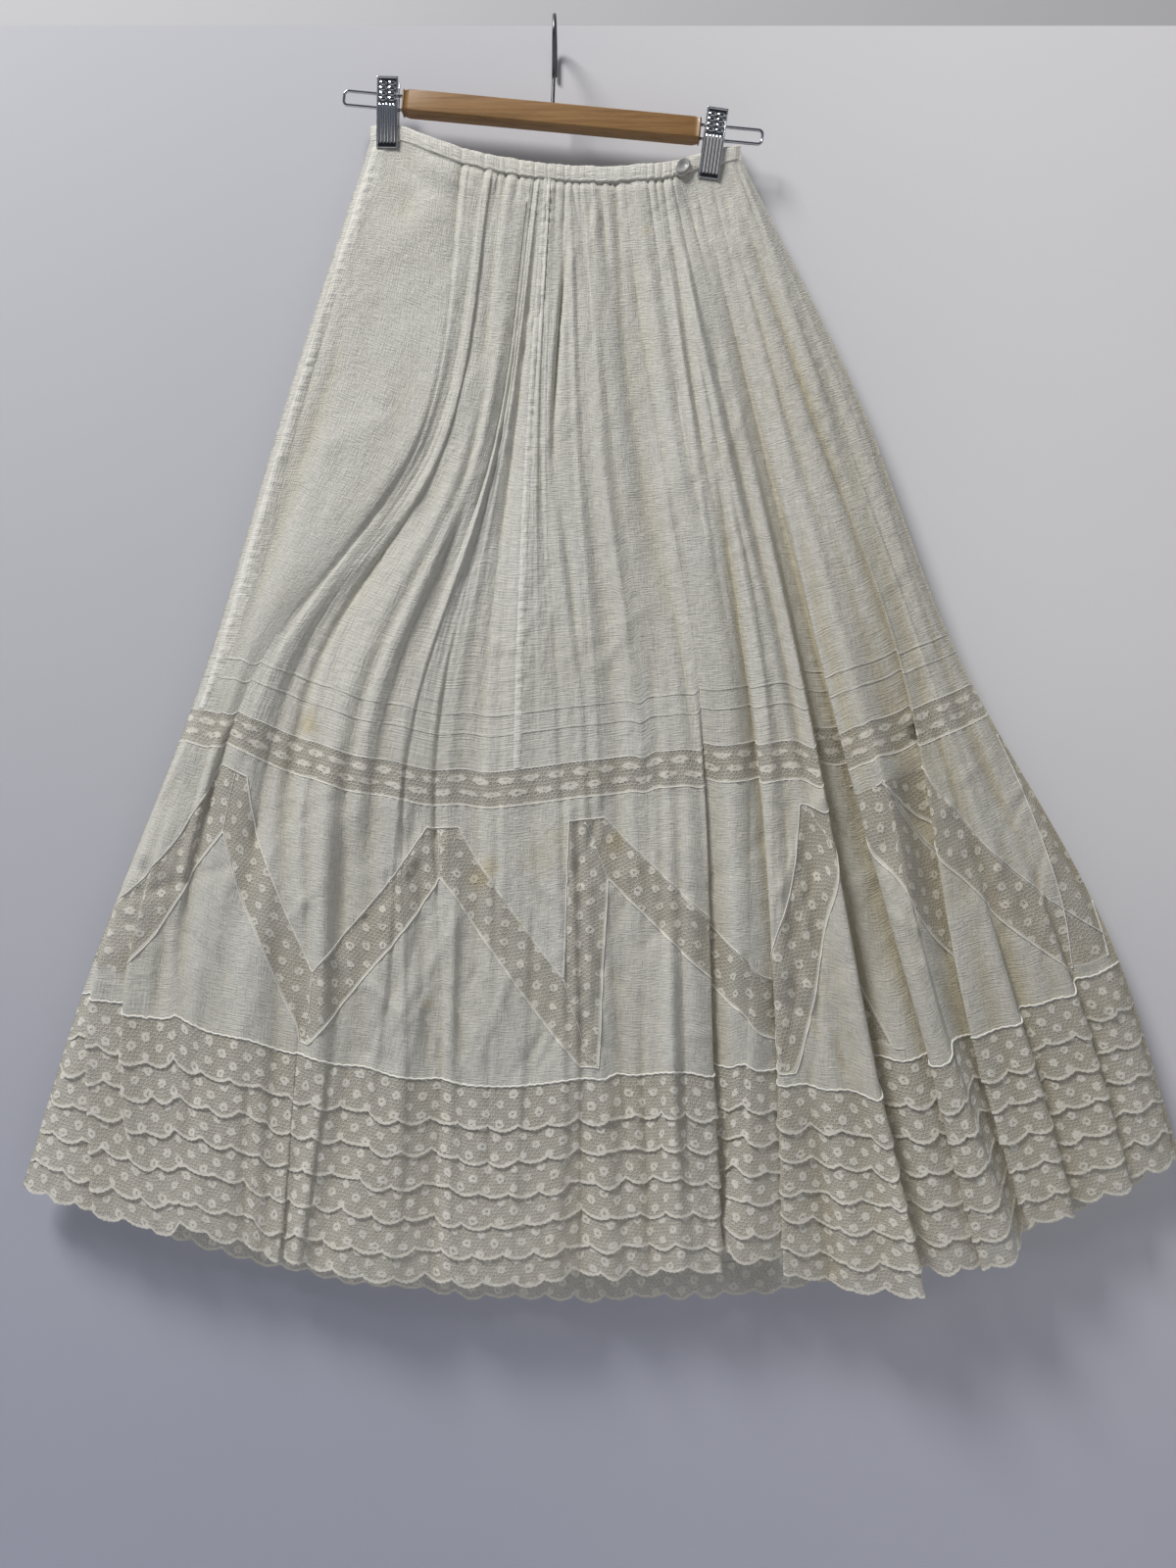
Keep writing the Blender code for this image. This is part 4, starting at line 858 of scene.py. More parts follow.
def lawn_material(name, cloth, colour):
    """Cotton lawn, washed soft: matt, off-white, with a faint thread and small crumples.

    The threads are 0.25 mm apart, too fine to show, so the weave is drawn at 1.2 mm.
    """
    made, add = new_material(name)
    flat = add("UVMap", uv_map="flat")
    slubs = [
        add("TexNoise", add("VectorMath MULTIPLY", flat, stretch), 1.0, 3.0)
        for stretch in ((820.0, 90.0, 0.0), (110.0, 820.0, 0.0))
    ]
    weave = add("Math ADD", *slubs)
    crumple = add("TexNoise", flat, 60.0, 5.0, Distortion=0.6)
    tone = add("MapRange", add("TexNoise", flat, 11.0, 3.0), 0.3, 0.7, 0.0, 0.12)
    # painted shade: in folds and creases the lawn turns darker and yellower, on top of its real
    # yellowing towards the right
    aged = add("Attribute", out="Fac", attribute_name="aged")
    tint = add("Math MULTIPLY_ADD", aged, 0.6, tone)
    base = add("Mix", tint, linear(colour), linear(cloth.aged), **COLOURS)
    base = stained(add, base, linear(cloth.stain), crumple)
    # thicker threads let less light through, so they look lighter
    thick = add("MapRange", weave, 0.7, 1.3, 0.85, 1.08)
    ridged = {"noise_type": "RIDGED_MULTIFRACTAL"}
    crisp = add("TexNoise", flat, 24.0, 3.0, 0.55, Distortion=0.5, **ridged)
    rough = add("Math MULTIPLY_ADD", crisp, 0.55, weave)
    height = add("Math MULTIPLY_ADD", crumple, 1.3, rough)
    return shade(
        made, Base_Color=add("VectorMath SCALE", base, thick), Roughness=0.88,
        Normal=add("Bump", 0.6, 0.0017, Height=height), Sheen_Weight=0.12, Specular_IOR_Level=0.25,
    )


def lattice(add, vector, start, size, stretch=1.0):
    """Distance to the nearest point of two crossed lattices, in millimetres.

    The vector is taken into a cell of the size, its middle moved to 0, and its length
    read. The second lattice is half a cell off both ways.
    """
    found = []
    for half in (0.0, 0.5):
        corner = (start[0] + (half - 0.5) * size[0], start[1] + (half - 0.5) * size[1], 0.0)
        moved = add("VectorMath SUBTRACT", vector, corner)
        inside = add("VectorMath FRACTION", add("VectorMath DIVIDE", moved, (*size, 1.0)))
        centred = add("VectorMath SUBTRACT", inside, (0.5, 0.5, 0.0))
        scaled = add("VectorMath MULTIPLY", centred, (size[0] * stretch, size[1], 0.0))
        found.append(add("VectorMath LENGTH", scaled))
    return add("Math MINIMUM", *found)


def lace_material(name, cloth, start, size, ring, thick, dense, white, stretch=1.0):
    """Cotton bobbin lace: cream net with white rings, and a denser strip along its edges.

    The net's meshes are 2.3 mm wide, drawn at 3.6 mm so that they show. Rings of a radius
    and half thickness sit on two crossed lattices. The point attribute edge is the
    distance to the nearest edge, and the lace is dense where it is small. white is how
    far the dense parts turn from the net's colour to their own.
    """
    made, add = new_material(name)
    flat = add("UVMap", uv_map="flat")
    place = add("VectorMath MULTIPLY", flat, (1000.0, 1000.0, 0.0))
    wobble = add("TexNoise", place, 0.11, 2.0, out="Color")
    moved = add("VectorMath MULTIPLY_ADD", wobble, (3.0, 3.0, 0.0), place)
    cell = cloth.net_cell / MM
    net = lattice(add, moved, (0.0, 0.0), (cell, cell * math.sqrt(3.0)))
    hole = add("MapRange", net, 0.34 * cell, 0.49 * cell, 1.0, 0.0, **SMOOTH)
    petals = add("TexNoise", place, 0.45, 1.0, out="Color")
    ruffled = add("VectorMath MULTIPLY_ADD", petals, (4.2, 4.2, 0.0), moved)
    away = lattice(add, ruffled, (start[0] + 2.8, start[1] + 2.8), size, stretch)
    uneven = add("TexNoise", place, 0.07, 1.0)
    wide = add("MapRange", uneven, 0.3, 0.7, 0.7 * ring, 1.25 * ring)
    near = add("Math ABSOLUTE", add("Math SUBTRACT", away, wide))
    rings = add("MapRange", near, 0.6 * thick, thick + 1.4, 1.0, 0.0, **SMOOTH)
    torn = add("TexNoise", place, 0.42, 2.0)
    edge = add("Attribute", out="Fac", attribute_name="edge")
    ragged = add("Math MULTIPLY_ADD", torn, 0.9 * dense, edge)
    border = add("MapRange", ragged, 1.2 * dense, 1.2 * dense + 1.4, 1.0, 0.0, **SMOOTH)
    solid = add("Math MAXIMUM", rings, border)
    threads = add("Math MAXIMUM", add("Math SUBTRACT", 1.0, hole), solid)
    patch = add("TexNoise", flat, 16.0, 3.0)
    tone = add("MapRange", patch, 0.35, 0.75, 0.0, 0.2)
    # painted shade: in folds and creases the thread turns darker and yellower, on top of its real
    # yellowing towards the right
    aged = add("Attribute", out="Fac", attribute_name="aged")
    tint = add("Math MULTIPLY_ADD", aged, 0.5, tone)
    thread = add("Mix", tint, linear(cloth.thread), linear(cloth.aged), **COLOURS)
    worn = add("MapRange", torn, 0.35, 0.65, 0.15 * white, white)
    share = add("Math MULTIPLY", solid, worn)
    base = add("Mix", share, thread, linear(cloth.motif), **COLOURS)
    return shade(
        made, Base_Color=stained(add, base, linear(cloth.stain), patch), Roughness=0.9,
        # fine threads cross the holes, too thin to draw one by one
        Alpha=add("Math MAXIMUM", threads, cloth.veil),
        Normal=add("Bump", 0.8, 0.0009, Height=threads), Sheen_Weight=0.1, Specular_IOR_Level=0.2,
    )


def clouded(add, scale, detail, light, dark):
    """A soft noise on the piece's own coordinates, and two colours mixed by it."""
    noise = add("TexNoise", add("TexCoord", out="Object"), scale, detail)
    return noise, add("Mix", noise, linear(light), linear(dark), **COLOURS)


def cord_material():
    """Cotton thread whipped over a rolled edge: white, with slanting stitches 1.6 mm apart."""
    made, add = new_material("whipped_cotton")
    stitch, base = clouded(add, 620.0, 1.0, "FAF9F4", "DFDDD5")
    bump = add("Bump", 0.8, 0.0006, Height=stitch)
    return shade(
        made, Base_Color=base, Normal=bump, Roughness=0.9, Sheen_Weight=0.1, Specular_IOR_Level=0.2
    )


def beech_material(hanger):
    """Beech, planed and thinly varnished: light brown, with long fine grain along the bar."""
    made, add = new_material("varnished_beech")
    place, turned = add("TexCoord", out="Object"), (0.0, -TILT, 0.0)
    along = add("Mapping", place, Rotation=turned, Scale=(14.0, 260.0, 260.0))
    grain = add("TexNoise", along, 1.0, 6.0, Distortion=0.8)
    pores = add("TexNoise", add("VectorMath MULTIPLY", along, (9.0, 6.0, 6.0)), 1.0, 2.0)
    mixed = add("Math MULTIPLY_ADD", pores, 0.35, grain)
    share = add("MapRange", mixed, 0.5, 0.95)
    base = add("Mix", share, linear(hanger.beech), linear(hanger.grain), **COLOURS)
    bump = add("Bump", 0.25, 0.0003, Height=mixed)
    return shade(made, Base_Color=base, Normal=bump, Roughness=0.42, Coat_Weight=0.15)


def chrome_material():
    """Chrome plate over pressed steel: bright, with a little haze and fine rubs."""
    made, add = new_material("chrome_plate")
    haze, base = clouded(add, 240.0, 4.0, "DCDCE0", "B2B3B9")
    rough = add("MapRange", haze, 0.3, 0.7, 0.04, 0.1)
    return shade(made, Base_Color=base, Roughness=rough, Metallic=1.0)


def steel_material():
    """Plain steel wire, dull and dark with age."""
    made, add = new_material("dull_steel_wire")
    _, base = clouded(add, 160.0, 3.0, "7C7D82", "56565A")
    return shade(made, Base_Color=base, Roughness=0.35, Metallic=1.0)


def pearl_material():
    """Shell button: grey-white nacre, cloudy, with a soft gloss."""
    made, add = new_material("pearl_shell")
    cloud = add("TexNoise", add("TexCoord", out="Object"), 210.0, 4.0, Distortion=1.5)
    share = add("MapRange", cloud, 0.3, 0.7)
    base = add("Mix", share, linear("CBCBC6"), linear("979798"), **COLOURS)
    return shade(made, Base_Color=base, Roughness=0.32, Coat_Weight=0.3)


def board_material(stage):
    """Pale matt board with painted light: painted shade makes it darker and bluer towards the
    floor, and painted light makes it whiter to the right.

    It is clear from behind, and glows pale for light that bounces off it, a painted glow that
    lights the cloth like a pale room.
    """
    made, add = new_material("board_with_painted_light")
    pale = linear(stage.board)
    place = add("TexCoord", out="Object")
    height, across = (add("SeparateXYZ", place, out=axis) for axis in "ZX")
    # painted shade: darker and bluer towards the floor, as if less light reached it there
    low = add("MapRange", height, -0.5, -1.35, 0.0, 0.6, **SMOOTH)
    share = add("Math MULTIPLY_ADD", add("TexNoise", place, 3.0, 4.0), 0.12, low)
    # painted light: whiter to the right, where the lamp on the left lights it less
    right = add("MapRange", across, -0.3, 0.6, 0.0, 1.0, **SMOOTH)
    base = add("Mix", right, pale, linear("F4F3F4"), **COLOURS)
    base = add("Mix", share, base, linear("AEB2C8"), **COLOURS)
    shade(made, Base_Color=base, Roughness=0.9, Specular_IOR_Level=0.2)
    # painted glow: rays bounced from the cloth see it shine with its own pale colour, standing in
    # for the room's bounced light
    seen = add(
        "MixShader", add("LightPath", out="Is Diffuse Ray"),
        made.node_tree.nodes["Principled BSDF"].outputs[0], add("Emission", pale, 0.55),
    )
    back = add("NewGeometry", out="Backfacing")
    both = add("MixShader", back, seen, add("BsdfTransparent"))
    put(made.node_tree.nodes["Material Output"].inputs["Surface"], both)
    return made


def floor_material():
    """Matt pale paper."""
    made, add = new_material("pale_floor")
    _, base = clouded(add, 2.0, 2.0, "C4C4C6", "BCBCC0")
    return shade(made, Base_Color=base, Roughness=0.9)


@lru_cache
def finish_of(name):
    """A material by its short name, made once."""
    scene = bpy.context.scene
    cloth = scene.skirt_cloth
    lace = {
        "insertion": ((0.0, 9.5), (22.0, 23.0), 1.7, 0.9, 1.0, 0.6, 0.35),
        "zigzag": ((6.0, 10.5), (24.0, 20.0), 2.2, 1.1, 1.3, 0.52),
        "edging": ((13.0, 21.0), (23.0, 17.0), 2.3, 1.3, 2.5, 0.78),
    }
    if name in lace:
        return lace_material(name + "_lace", cloth, *lace[name])
    return {
        "lawn": partial(lawn_material, "cotton_lawn", cloth, cloth.lawn),
        "band": partial(lawn_material, "double_cotton_lawn", cloth, cloth.band),
        "cord": cord_material,
        "beech": partial(beech_material, scene.skirt_hanger),
        "chrome": chrome_material,
        "steel": steel_material,
        "pearl": pearl_material,
        "board": partial(board_material, scene.skirt_stage),
        "floor": floor_material,
    }[name]()


# Pieces of the skirt


def panel_points(sheet, rows, columns, height):
    """A panel over rows and columns of the cloth: faces, points, UV, and its tint of real yellowing
    and painted fold shade.

    The UV is the run at the panel's mid height and the level.
    """
    grid_rows, grid_columns = np.broadcast_arrays(rows, columns)
    points = sheet.place(grid_rows, grid_columns, height)
    level = np.interp(grid_rows, np.arange(len(sheet.levels)), sheet.levels)
    middle = 0.5 * (np.min(rows) + np.max(rows))
    flat = np.stack([sheet.read(sheet.run, middle, grid_columns), level], axis=-1) * MM
    aged = sheet.read(sheet.aged, grid_rows, grid_columns)
    return grid_faces(*aged.shape, sheet.turn), points, flat, aged


def joined_panels(panels):
    """Several panels as one mesh."""
    return join_parts([
        (faces, points.reshape(-1, 3), flat.reshape(-1, 2), aged.ravel())
        for faces, points, flat, aged in panels
    ])


def whole_columns(sheet, start=0, stop=None):
    """The grid's columns between two, with both ends."""
    stop = sheet.last if stop is None else stop
    inside = np.arange(math.ceil(start + 0.2), math.floor(stop - 0.2) + 1)
    return np.concatenate([[start], inside, [stop]])


def level_steps(sheet, top, bottom):
    """The grid's levels between two, with both ends."""
    inside = sheet.levels[(sheet.levels > top + 0.5) & (sheet.levels < bottom - 0.5)]
    return np.concatenate([[top], inside, [bottom]])


def add_panel(name, sheet, levels, columns, finish, node, holds, **marks):
    """A shell of cloth over levels and columns."""
    faces, points, flat, aged = panel_points(sheet, sheet.row(levels)[:, None], columns, SHELL)
    obj = add_piece(name, [node], points, faces, finish, flat, aged=aged, **marks)


class SKIRT_OT_gores(bpy.types.Operator):
    """Builds the upper skirt's gores from the waist seam down to the straight lace"""

    bl_idname = "skirt.gores"
    bl_label = "Gores"

    def execute(self, context):
        holds = ["left_clip_front", "right_clip_front"]
        for sheet in sheets():
            seams = [float(sheet.column(x, TUCK_LEVELS[0])) for x in sheet.side.seams]
            cuts, levels = [0.0, *seams, float(sheet.last)], level_steps(sheet, 0.0, LACE_TOP)
            for gore, start, stop in zip(sheet.side.gores, cuts, cuts[1:]):
                name, columns = f"{sheet.name}_{gore}", whole_columns(sheet, start, stop)
                add_panel(f"{name}_lawn", sheet, levels, columns, "lawn", name, holds)
        return {"FINISHED"}


class SKIRT_OT_tucks(bpy.types.Operator):
    """Builds the two pin tucks on the front and the back"""

    bl_idname = "skirt.tucks"
    bl_label = "Pin Tucks"

    def execute(self, context):
        # section of a tuck: levels from its middle, and heights above the shell
        below, above = np.array([(-1, 0), (-0.5, 0.15), (0.6, 0.26), (1, 0.25), (0.95, 0.03)]).T
        for sheet in sheets():
            name, columns, height = sheet.name, whole_columns(sheet), SHELL + above[:, None]
            faces, points, flat, aged = joined_panels(
                panel_points(sheet, sheet.row(level + below)[:, None], columns, height)
                for level in TUCK_LEVELS
            )
            nodes = [f"{name}_tuck_1", f"{name}_tuck_2"]
            add_piece(f"{name}_pin_tucks", nodes, points, faces, "lawn", flat, aged=aged * 0.6)
        return {"FINISHED"}


class SKIRT_OT_straight_lace(bpy.types.Operator):
    """Builds the straight lace insertion under the tucks"""

    bl_idname = "skirt.straight_lace"
    bl_label = "Straight Lace"

    def execute(self, context):
        for sheet in sheets():
            name, columns = sheet.name, whole_columns(sheet)
            levels = level_steps(sheet, LACE_TOP, LACE_BOTTOM)
            edge = np.minimum(levels - LACE_TOP, LACE_BOTTOM - levels).repeat(len(columns))
            add_panel(
                f"{name}_insertion_lace", sheet, levels, columns, "insertion",
                f"{name}_straight_lace", [f"{name}_left_gore_lawn"], edge=edge,
            )
        return {"FINISHED"}


def zig_centre(sheet):
    """Centre lines of the zigzag with their share of its width and shown places.

    Each line's places are those of its columns at mid height of the zigzag, and the
    grid's own places there come after the lines.
    """
    across = sheet.across[sheet.near_row(0.5 * (ZIG_TOP + ZIG_BOTTOM))]
    lines = []
    for share, shown, *table in ZIG_FRONT if sheet.front else ():
        spots = np.asarray(table, float).reshape(-1, 2)
        columns = [sheet.column(x, level) for x, level in spots]
        places = np.interp(columns, np.arange(len(across)), across)
        lines.append((share, shown, np.stack([places, spots[:, 1]], axis=1)))
    if not sheet.front:
        places = np.linspace(across[0], across[-1], int(2 * ZIG_BACK_PERIODS) + 1)
        levels = np.where(np.arange(len(places)) % 2 == 0, ZIG_LOW, ZIG_HIGH)
        lines.append((1.0, ALL, np.stack([places, levels], axis=1)))
    lines[0][2][0, 0] -= 2.0
    lines[-1][2][-1, 0] += ZIG_OVER_EDGE
    return lines, across


def zig_runs(lines, flat, level):
    """For each run of the zigzag: its ends, and the distance of points from it.

    The distance is square to the run. Past its end it is the larger one of this and the
    next run's, which gives both a mitred corner, and each keeps its own half.
    """
    found, own_half = [], 0.02
    for share, shown, line in lines:
        hidden = (flat < shown[0]) | (flat > shown[1])
        across, over = [], []
        for start, step in zip(line, np.diff(line, axis=0)):
            length = np.linalg.norm(step)
            (dx, dz), right, low = step / length, flat - start[0], level - start[1]
            along = right * dx + low * dz
            across.append(np.abs(low * dx - right * dz) / share)
            over.append(along - np.clip(along, 0.0, length))
        for i in range(len(across)):
            distance = np.where(over[i] == 0.0, across[i], np.inf)
            for near, beyond in ((i - 1, -over[i]), (i + 1, over[i])):
                if 0 <= near < len(across):
                    corner = np.maximum(across[i], across[near]) + own_half * beyond
                    close = (beyond > 0.0) & (beyond < MITRE_REACH)
                    distance = np.minimum(distance, np.where(close, corner, np.inf))
            found.append((line[i], line[i + 1], np.where(hidden, np.inf, distance)))
    return found


def flounce_lawn(sheet, levels, field):
    """The lawn round the zigzag lace, puckered along its seams by a sine of the run."""
    rows, columns, faces = cut_grid(field)
    level = np.interp(rows, np.arange(len(levels)), levels)
    seam = np.interp(level, [LACE_BOTTOM, LACE_BOTTOM + 12, FLOUNCE - 16, FLOUNCE], [1, 0, 0, 1])
    away = sheet.read(field, rows, columns)
    close = np.maximum(np.exp(-np.maximum(away, 0) / 7.0) * (away < 60), 0.7 * seam)
    run = sheet.read(sheet.run, sheet.row(0.5 * (LACE_BOTTOM + FLOUNCE)), columns)
    pucker = np.sin(run * math.tau / 8.3 + 1.7 * np.sin(run / 19.0 + level / 13.0))
    rows, height = sheet.row(level), SHELL + 0.32 * close * pucker * (away > 0.05)
    points, flat = sheet.place(rows, columns, height), np.stack([run, level], axis=-1) * MM
    aged, side = sheet.read(sheet.aged, rows, columns), sheet.name
    nodes = [f"{side}_cloth_above_zigzag", f"{side}_cloth_below_zigzag"]
    faces = faces if sheet.front else [face[::-1] for face in faces]
    obj = add_piece(f"{side}_flounce_lawn", nodes, points, faces, "lawn", flat, aged=aged)
    whole = sheet.place(sheet.row(levels)[:, None], np.arange(field.shape[1]), SHELL)


def zigzag_strip(sheet, levels, field, places, runs, distances):
    """The zigzag lace, cut in one, each face with the length and width of its own run as UV."""
    rows, columns, faces = cut_grid(field)
    level = np.interp(rows, np.arange(len(levels)), levels)
    sizes = np.array([len(face) for face in faces])
    corners, owner = np.concatenate(faces), np.repeat(np.arange(len(faces)), sizes)
    sums = [np.bincount(owner, sheet.read(d, rows, columns)[corners]) / sizes for d in distances]
    nearest = np.argmin(sums, axis=0)
    edge = np.maximum(sheet.read(np.clip(field, -9.0, 99.0), rows, columns), 0.0)
    rows, middle = sheet.row(level), sheet.row(0.5 * (ZIG_TOP + ZIG_BOTTOM))
    run = sheet.read(sheet.run, middle, columns)
    flats, side, apart = [], sheet.name, 300.0
    for i, (first, last, _) in enumerate(runs):
        ends = np.interp([first[0], last[0]], places, np.arange(len(places)))
        begin, end = sheet.read(sheet.run, middle, ends)
        slope = math.atan2(last[1] - first[1], end - begin)
        right, low = run - begin, level - first[1]
        u = right * math.cos(slope) + low * math.sin(slope) + apart * i
        v = low * math.cos(slope) - right * math.sin(slope) + 0.5 * ZIG_WIDTH
        flats.append(np.stack([u, v], axis=-1) * MM)
    points, aged = sheet.place(rows, columns, SHELL - 0.15), sheet.read(sheet.aged, rows, columns)
    faces = faces if sheet.front else [face[::-1] for face in faces]
    name, nodes = f"{side}_zigzag_strip", [f"{side}_zigzag_lace"]
    obj = add_piece(name, nodes, points, faces, "zigzag", flats[0], aged=aged, edge=edge)
    order, areas = np.empty(len(corners), dtype=np.int32), np.empty(len(faces))
    obj.data.loops.foreach_get("vertex_index", order)
    flats = np.array(flats)[nearest[owner], order]
    obj.data.uv_layers["flat"].data.foreach_set("uv", flats.ravel())
    obj.data.polygons.foreach_get("area", areas)


class SKIRT_OT_zigzag(bpy.types.Operator):
    """Builds the zigzag lace insertion, and the lawn above and below it cut along its edges"""

    bl_idname = "skirt.zigzag"
    bl_label = "Zigzag Lace"

    def execute(self, context):
        for sheet in sheets():
            lines, places = zig_centre(sheet)
            levels = level_steps(sheet, LACE_BOTTOM, FLOUNCE)
            flat, level = np.meshgrid(places, levels)
            runs = zig_runs(lines, flat, level)
            distances = np.minimum([run[2] for run in runs], 3.0 * ZIG_WIDTH)
            band = np.minimum(level - ZIG_TOP, ZIG_BOTTOM - level)
            lace = np.minimum(0.5 * ZIG_WIDTH - distances.min(axis=0), band)
            flounce_lawn(sheet, levels, -lace)
            zigzag_strip(sheet, levels, lace, places, runs, distances)
        return {"FINISHED"}


def tier_top(number):
    """Level where a tier is sewn on: the first at the flounce, the others evenly below it."""
    rest = (HEM - FLOUNCE - TIER_FIRST) / (TIER_COUNT - 1)
    return FLOUNCE if number == 0 else FLOUNCE + TIER_FIRST + rest * (number - 1)


def scallop_edge(run, height, pitch, depth, rng):
    """Length of the edging at each place along it: lobes, the power of a sine, of uneven depth."""
    lobe = np.floor(run / pitch).astype(int)
    uneven = rng.uniform(0.6, 1.25, lobe.max() + 2)[lobe]
    knots = np.arange(0.0, run.max() + 60.0, 37.0)
    sag = 1.1 * np.interp(run, knots, rng.normal(0.0, 1.0, len(knots)))
    teeth = 0.35 * np.sin(run * math.tau / 4.3)
    lobes = uneven * np.abs(np.sin(math.pi * run / pitch)) ** 0.75
    return height - depth + sag + teeth + depth * lobes


def add_tier(sheet, number, cloth):
    """One tier: a grid from its gathered top to its scallops, the lower part standing off."""
    rng = np.random.default_rng(100 * number + 1 + sheet.number)
    top, last = tier_top(number), number == TIER_COUNT - 1
    bottom = HEM if last else tier_top(number + 1) + 4.5
    middle = 0.5 * (top + bottom)
    whole = sheet.run[sheet.near_row(middle)][-1]
    run = np.arange(0.0, whole, 1.4 if sheet.front else 2.9)
    run[-1] = whole
    shift = rng.uniform(0.0, 26.0)
    pitch, depth = cloth.scallop / MM, cloth.scallop_depth / MM
    long = scallop_edge(run + shift, bottom - top, pitch, depth, rng)
    share = np.linspace(0.0, 1.0, 10)[:, None]
    fall = share * long
    rows, columns = np.broadcast_arrays(sheet.row(top + fall), sheet.column_of_run(run, middle))
    flip = rng.normal(0.0, 0.45, int(whole / 6.0) + 3)
    ripple = np.interp(run, np.arange(len(flip)) * 6.0, flip)
    lift = SHELL + 0.25 + (0.0 if last else 1.9) * share**1.5 + 0.9 * ripple * share**2
    points = sheet.place(rows, columns, np.maximum(lift, SHELL * 0.6))
    along = np.broadcast_to(run + shift, fall.shape)
    flat = np.stack([along, fall + (28.0 - (bottom - top))], axis=-1) * MM
    obj = add_piece(
        f"{sheet.name}_edging_{number + 1}", [f"{sheet.name}_tier_{number + 1}"], points,
        grid_faces(*fall.shape, sheet.turn), "edging", flat,
        aged=sheet.read(sheet.aged, rows, columns), edge=np.minimum(long - fall, fall + 2.6),
    )


class SKIRT_OT_edgings(bpy.types.Operator):
    """Builds the six tiers of scalloped lace edging, front and back"""

    bl_idname = "skirt.edgings"
    bl_label = "Scalloped Edgings"

    def execute(self, context):
        for sheet in sheets():
            for number in range(TIER_COUNT):
                add_tier(sheet, number, context.scene.skirt_cloth)
        return {"FINISHED"}


def level_cord(sheet, level, height, wave=0.0, pitch=3.2):
    """A path across the cloth at a level, with whipping that waves up and down."""
    run = np.arange(0.0, sheet.run[sheet.near_row(level)][-1], 2.2 if sheet.front else 3.4)
    rows = sheet.row(level + wave * np.sin(run * math.tau / pitch))
    return sheet.place(rows, sheet.column_of_run(run, level), height)


def zig_cords(sheet):
    """Paths along both edges of the zigzag lace and across it at its turns, with their radius.

    The edges are mitred, flat at top and bottom, and half the lace's width from its
    centre. The seams across halve the angle between two runs.
    """
    lines, places = zig_centre(sheet)
    edges, seams, count = [], [], np.arange(len(places))
    for share, shown, line in lines:
        runs = unit(np.diff(line, axis=0))
        normals = np.stack([runs[:, 1], -runs[:, 0]], axis=1)
        before = np.vstack([normals[:1], normals])
        total = before + np.vstack([normals, normals[-1:]])
        mitre = total / np.maximum((total * before).sum(axis=1, keepdims=True), 0.12)
        for sign in (1.0, -1.0):
            path = line + sign * 0.5 * ZIG_WIDTH * share * mitre
            length = np.pad(np.cumsum(np.linalg.norm(np.diff(path, axis=0), axis=1)), (1, 0))
            steps = np.arange(0, length[-1], 2.0)
            flat, level = (np.interp(steps, length, path[:, k]) for k in (0, 1))
            level = np.clip(level, ZIG_TOP, ZIG_BOTTOM)
            keep = (flat > max(places[0], shown[0])) & (flat < min(places[-1], shown[1]))
            if keep.sum() > 2:
                columns = np.interp(flat[keep], places, count)
                edges.append((sheet.place(sheet.row(level[keep]), columns, SHELL + 0.4), 0.46))
        for spot, back, on in zip(line[1:], -runs, runs[1:]):
            size, cosine = np.linalg.norm(back + on), back @ on
            if size < 0.05 or cosine < -0.5:
                continue
            half = 0.5 * math.acos(np.clip(cosine, -1, 1))
            inner = 0.5 * ZIG_WIDTH * share / max(math.sin(half), 0.3)
            steps = np.linspace(-0.8 * ZIG_WIDTH, inner, 20)[:, None]
            path = spot + steps * (back + on) / size
            path = path[(path[:, 1] > ZIG_TOP) & (path[:, 1] < ZIG_BOTTOM)]
            columns = np.interp(path[:, 0], places, count)
            seams.append((sheet.place(sheet.row(path[:, 1]), columns, SHELL + 0.15), 0.28))
    return edges + seams


def felled_seam(sheet, x):
    """A seam down the gores: a low rounded ridge that puckers by two sines."""
    column = float(sheet.column(x, TUCK_LEVELS[0]))
    levels = np.arange(0.0, LACE_TOP, 2.5)[:, None]
    rows, across = sheet.row(levels), np.linspace(-1.0, 1.0, 7)
    slope = sheet.read(sheet.run, rows, column + 0.5) - sheet.read(sheet.run, rows, column - 0.5)
    lump = 0.7 + 0.5 * np.sin(levels / 1.4) * np.sin(levels / 9.0 + 1.0)
    height = SHELL + 0.05 + 0.95 * (1 - across**2) ** 0.7 * lump
    return panel_points(sheet, rows, column + SEAM_HALF_WIDTH * across / slope, height)


class SKIRT_OT_seams(bpy.types.Operator):
    """Builds the whipped seams along the laces and the felled seams down the gores"""

    bl_idname = "skirt.seams"
    bl_label = "Seams"

    def execute(self, context):
        for sheet in sheets():
            paths = [(level_cord(sheet, level, 0.65), 0.32) for level in (LACE_TOP, LACE_BOTTOM)]
            paths += [(level_cord(sheet, FLOUNCE, 1.2, 0.4), 0.8), *zig_cords(sheet)]
            faces, points = join_parts([tube(*path, 5)[::-1] for path in paths])
            add_piece(f"{sheet.name}_whipped_seams", (), points, faces, "cord")
            found = (felled_seam(sheet, x) for x in sheet.side.seams)
            faces, points, flat, aged = joined_panels(found)
            add_piece(f"{sheet.name}_felled_seams", (), points, faces, "band", flat, aged=aged)
        return {"FINISHED"}


